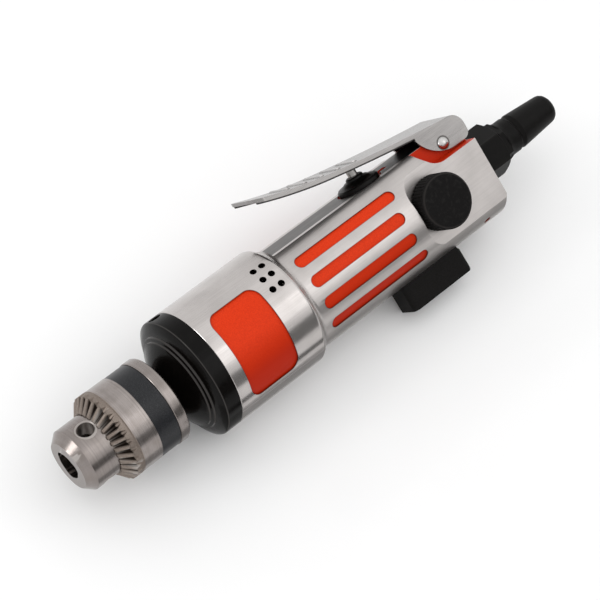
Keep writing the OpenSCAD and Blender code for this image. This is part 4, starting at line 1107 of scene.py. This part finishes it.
@dataclass
class AirInlet(Subassembly):
    """The inlet bushing, its screen and the hose plug."""

    black: BlackOxide = BlackOxide(
        "black_fitting", roughness=(0.4, 0.56), gloss=0.12, relief=Relief(0.35, 0.03, 0.7)
    )
    bushing_edge_mm: float = 0.3
    plug_edge_mm: float = 0.22

    def build(self) -> None:
        """Builds the bushing and the plug."""
        self.soften("inlet_bushing", Slot.BLACK_OXIDE, self.black, self.bushing_edge_mm)
        self.soften("air_plug", Slot.BLACK_OXIDE, self.black, self.plug_edge_mm)
        self.dress(BRASS, "inlet_screen")


@dataclass(frozen=True)
class Panel:
    """A soft lamp that faces the middle of the object.

    The azimuth is 0 beyond the object and 90 to the image's right. The elevation is above the floor.
    """

    name: str
    azimuth_deg: float
    elevation_deg: float
    distance_m: float
    width_m: float
    height_m: float
    power_w: float


@dataclass(frozen=True)
class Card:
    """A dark card that stands on the floor, or lies on it along the object.

    The azimuth is as for a lamp. The distance is from the spindle, and positive beyond it for a lying card.
    The shift is along the spindle.
    """

    name: str
    stands: bool
    azimuth_deg: float
    distance_m: float
    width_m: float
    height_m: float
    tone: float
    shift_m: float = 0.0


@dataclass
class Studio:
    """Floor, lamps and camera.

    The object lies on its side, on the barrel and on the lower edge of the exhaust deflector.
    """

    barrel_r_mm: float = 24.0
    deflector_y_mm: float = 6.4
    deflector_z_mm: float = 31.0
    middle_x_mm: float = 106.0
    azimuth_deg: float = 23.8
    elevation_deg: float = 12.6
    roll_deg: float = -31.5
    distance_mm: float = 794.2
    aim_roll_deg: float = 5.5
    aim_drop_mm: float = 2.29
    lens_mm: float = 132.0
    sensor_mm: float = 36.0
    clip_m: Span = (0.05, 60.0)
    world_light: float = 1.0
    matt: float = 0.9
    floor_pale: Colour = (0.93, 0.93, 0.93)
    floor_dull: Colour = (0.9207, 0.9207, 0.9207)
    floor_cloud: Pattern = Pattern(0.02, 2.0)
    floor_m: float = 14.0
    floor_gap_mm: float = 0.02
    card_cloud: Pattern = Pattern(0.01, 2.0)
    card_tones: Span = (0.9, 1.1)
    card_lift_mm: float = 1.0
    panels: tuple[Panel, ...] = (
        Panel("top_panel", 0.0, 85.0, 1.2, 1.4, 1.4, 1.0),
        Panel("wide_panel", 92.0, 52.0, 1.02, 1.1, 0.9, 0.7),
        Panel("key_panel", 98.0, 50.0, 1.0, 0.5, 0.5, 0.45),
        Panel("left_panel", -112.0, 23.0, 0.88, 0.26, 0.22, 0.8),
    )
    cards_used: tuple[Card, ...] = (
        Card("dark_side", True, 110.0, 0.6, 0.9, 0.28, 0.22),
        Card("dark_strip", False, 0.0, -0.066, 0.17, 0.018, 0.06, 0.045),
        # A grey strip next to the object puts a painted reflection of the floor's shade into polished
        # surfaces.
        Card("near_floor_shade_strip", False, 0.0, -0.033, 0.24, 0.020, 0.42, 0.024),
    )

    def middle(self) -> Vector:
        """Returns the middle of the object, on the spindle axis."""
        return Vector((self.middle_x_mm, 0.0, 0.0)) / MM_PER_M

    def up(self) -> Vector:
        """Works out how the object lies.

        Returns:
            The direction away from the floor.
        """
        reach = math.hypot(self.deflector_y_mm, self.deflector_z_mm)
        angle = math.acos(self.barrel_r_mm / reach) + math.atan2(self.deflector_y_mm, self.deflector_z_mm)
        return Vector((0.0, -math.sin(angle), math.cos(angle)))

    def camera_axes(self, roll_deg: float) -> tuple[Vector, Vector, Vector]:
        """Works out the camera's directions.

        Args:
            roll_deg: The camera's roll.

        Returns:
            The directions to the image's right, to its top and back to the camera.
        """
        turn = math.radians(self.azimuth_deg)
        tilt = math.radians(self.elevation_deg)
        roll = math.radians(roll_deg)
        back = Vector((-math.sin(turn) * math.cos(tilt), -math.cos(turn) * math.cos(tilt), math.sin(tilt)))
        level = Vector((math.cos(turn), -math.sin(turn), 0.0))
        right = level * math.cos(roll) + back.cross(level) * math.sin(roll)
        return right, back.cross(right), back

    def floor_axes(self) -> tuple[Vector, Vector, Vector]:
        """Works out the floor's directions.

        Returns:
            The directions to the image's right along the floor, away from the camera, and up.
        """
        right, _, _ = self.camera_axes(self.roll_deg)
        up = self.up()
        across = (right - up * right.dot(up)).normalized()
        return across, up.cross(across), up

    def sheet(self, bench: ShaderBench, name: str, size_m: float) -> Piece:
        """Adds a square sheet that belongs to the studio.

        Args:
            bench: The bench of its material.
            name: The sheet's name.
            size_m: The length of its sides.

        Returns:
            The sheet.
        """
        bpy.ops.mesh.primitive_plane_add(size=size_m)
        plane = bpy.context.active_object
        plane.name = name
        plane.rotation_mode = "QUATERNION"
        plane.data.materials.append(bench.material)
        return plane

    def floor(self) -> None:
        """Adds the pale floor, which is clear from below, so that the far side can be seen through it."""
        bench = ShaderBench("pale_floor")
        tone = bench.ramp(bench.noise(self.floor_cloud), *self.floor_cloud.at)
        bench.surface(bench.mix(tone, self.floor_pale, self.floor_dull), self.matt, 0.0)
        below = bench.add("ShaderNodeNewGeometry").outputs["Backfacing"]
        bench.feed(bench.shader.inputs["Alpha"], bench.less(1.0, below))
        plane = self.sheet(bench, "floor", self.floor_m)
        plane.rotation_quaternion = self.up().to_track_quat("Z", "Y")
        plane.location = self.middle() - self.up() * (self.barrel_r_mm + self.floor_gap_mm) / MM_PER_M

    def cards(self) -> None:
        """Adds the dark cards, which show only in polished surfaces."""
        across, away, up = self.floor_axes()
        bed = self.middle() - up * (self.barrel_r_mm - self.card_lift_mm) / MM_PER_M
        along = Vector((1.0, 0.0, 0.0))
        side = Vector((0.0, up.z, -up.y))
        for card in self.cards_used:
            turn = math.radians(card.azimuth_deg)
            face = away * math.cos(turn) + across * math.sin(turn)
            bench = ShaderBench(card.name)
            dark, pale = ((card.tone * share,) * 3 for share in self.card_tones)
            bench.surface(bench.mix(bench.noise(self.card_cloud), dark, pale), self.matt, 0.0, 0.0)
            plane = self.sheet(bench, card.name, 1.0)
            plane.scale = (card.width_m, card.height_m, 1.0)
            if card.stands:
                axes = Matrix((up.cross(face), up, face))
                plane.location = bed + face * card.distance_m + up * card.height_m / 2.0
            else:
                axes = Matrix((along, side, up))
                plane.location = bed + side * card.distance_m + along * card.shift_m
            plane.rotation_quaternion = axes.transposed().to_quaternion()
            plane.visible_camera = False
            plane.visible_diffuse = card.stands
            plane.visible_shadow = False

    def world(self) -> None:
        """Sets the even light from all round, which is the white background too."""
        world = bpy.data.worlds.new("studio")
        world.use_nodes = True
        sky = world.node_tree.nodes["Background"]
        sky.inputs["Color"].default_value = (1.0, 1.0, 1.0, 1.0)
        sky.inputs["Strength"].default_value = self.world_light
        bpy.context.scene.world = world
        bpy.context.scene.view_settings.view_transform = "Standard"

    def lamps(self) -> None:
        """Adds the soft lamps."""
        across, away, up = self.floor_axes()
        for panel in self.panels:
            light = bpy.data.lights.new(panel.name, "AREA")
            light.shape = "RECTANGLE"
            light.size = panel.width_m
            light.size_y = panel.height_m
            light.energy = panel.power_w
            lamp = bpy.data.objects.new(panel.name, light)
            turn = math.radians(panel.azimuth_deg)
            tilt = math.radians(panel.elevation_deg)
            level = away * math.cos(turn) + across * math.sin(turn)
            towards = level * math.cos(tilt) + up * math.sin(tilt)
            lamp.location = self.middle() + towards * panel.distance_m
            lamp.rotation_mode = "QUATERNION"
            lamp.rotation_quaternion = (-towards).to_track_quat("-Z", "Y")
            bpy.context.scene.collection.objects.link(lamp)

    def camera(self) -> None:
        """Adds the camera at the photograph's view."""
        _, lift, back = self.camera_axes(self.aim_roll_deg)
        lens = bpy.data.cameras.new("camera")
        lens.lens = self.lens_mm
        lens.sensor_width = self.sensor_mm
        lens.clip_start, lens.clip_end = self.clip_m
        camera = bpy.data.objects.new("camera", lens)
        place = Matrix(self.camera_axes(self.roll_deg)).transposed().to_4x4()
        place.translation = self.middle() + (back * self.distance_mm - lift * self.aim_drop_mm) / MM_PER_M
        camera.matrix_world = place
        bpy.context.scene.collection.objects.link(camera)
        bpy.context.scene.camera = camera

    def build(self) -> None:
        """Builds the studio."""
        self.floor()
        self.cards()
        self.world()
        self.lamps()
        self.camera()
        log.info("studio built, with %d lamps", len(self.panels))


def main() -> None:
    """Builds the drill's looks and its studio."""
    logging.basicConfig(level=logging.INFO, stream=sys.stdout, format="%(name)s: %(message)s")
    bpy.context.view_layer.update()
    groups = (Casting, FrontEnd, KeyedChuck, VaneMotor, Throttle, ReversingValve, Exhaust, AirInlet)
    for kind in groups:
        group = kind()
        group.build()
        log.info("%s: %d pieces remade", kind.__name__, len(group.made))
    Studio().build()


if __name__ == "__main__":
    main()
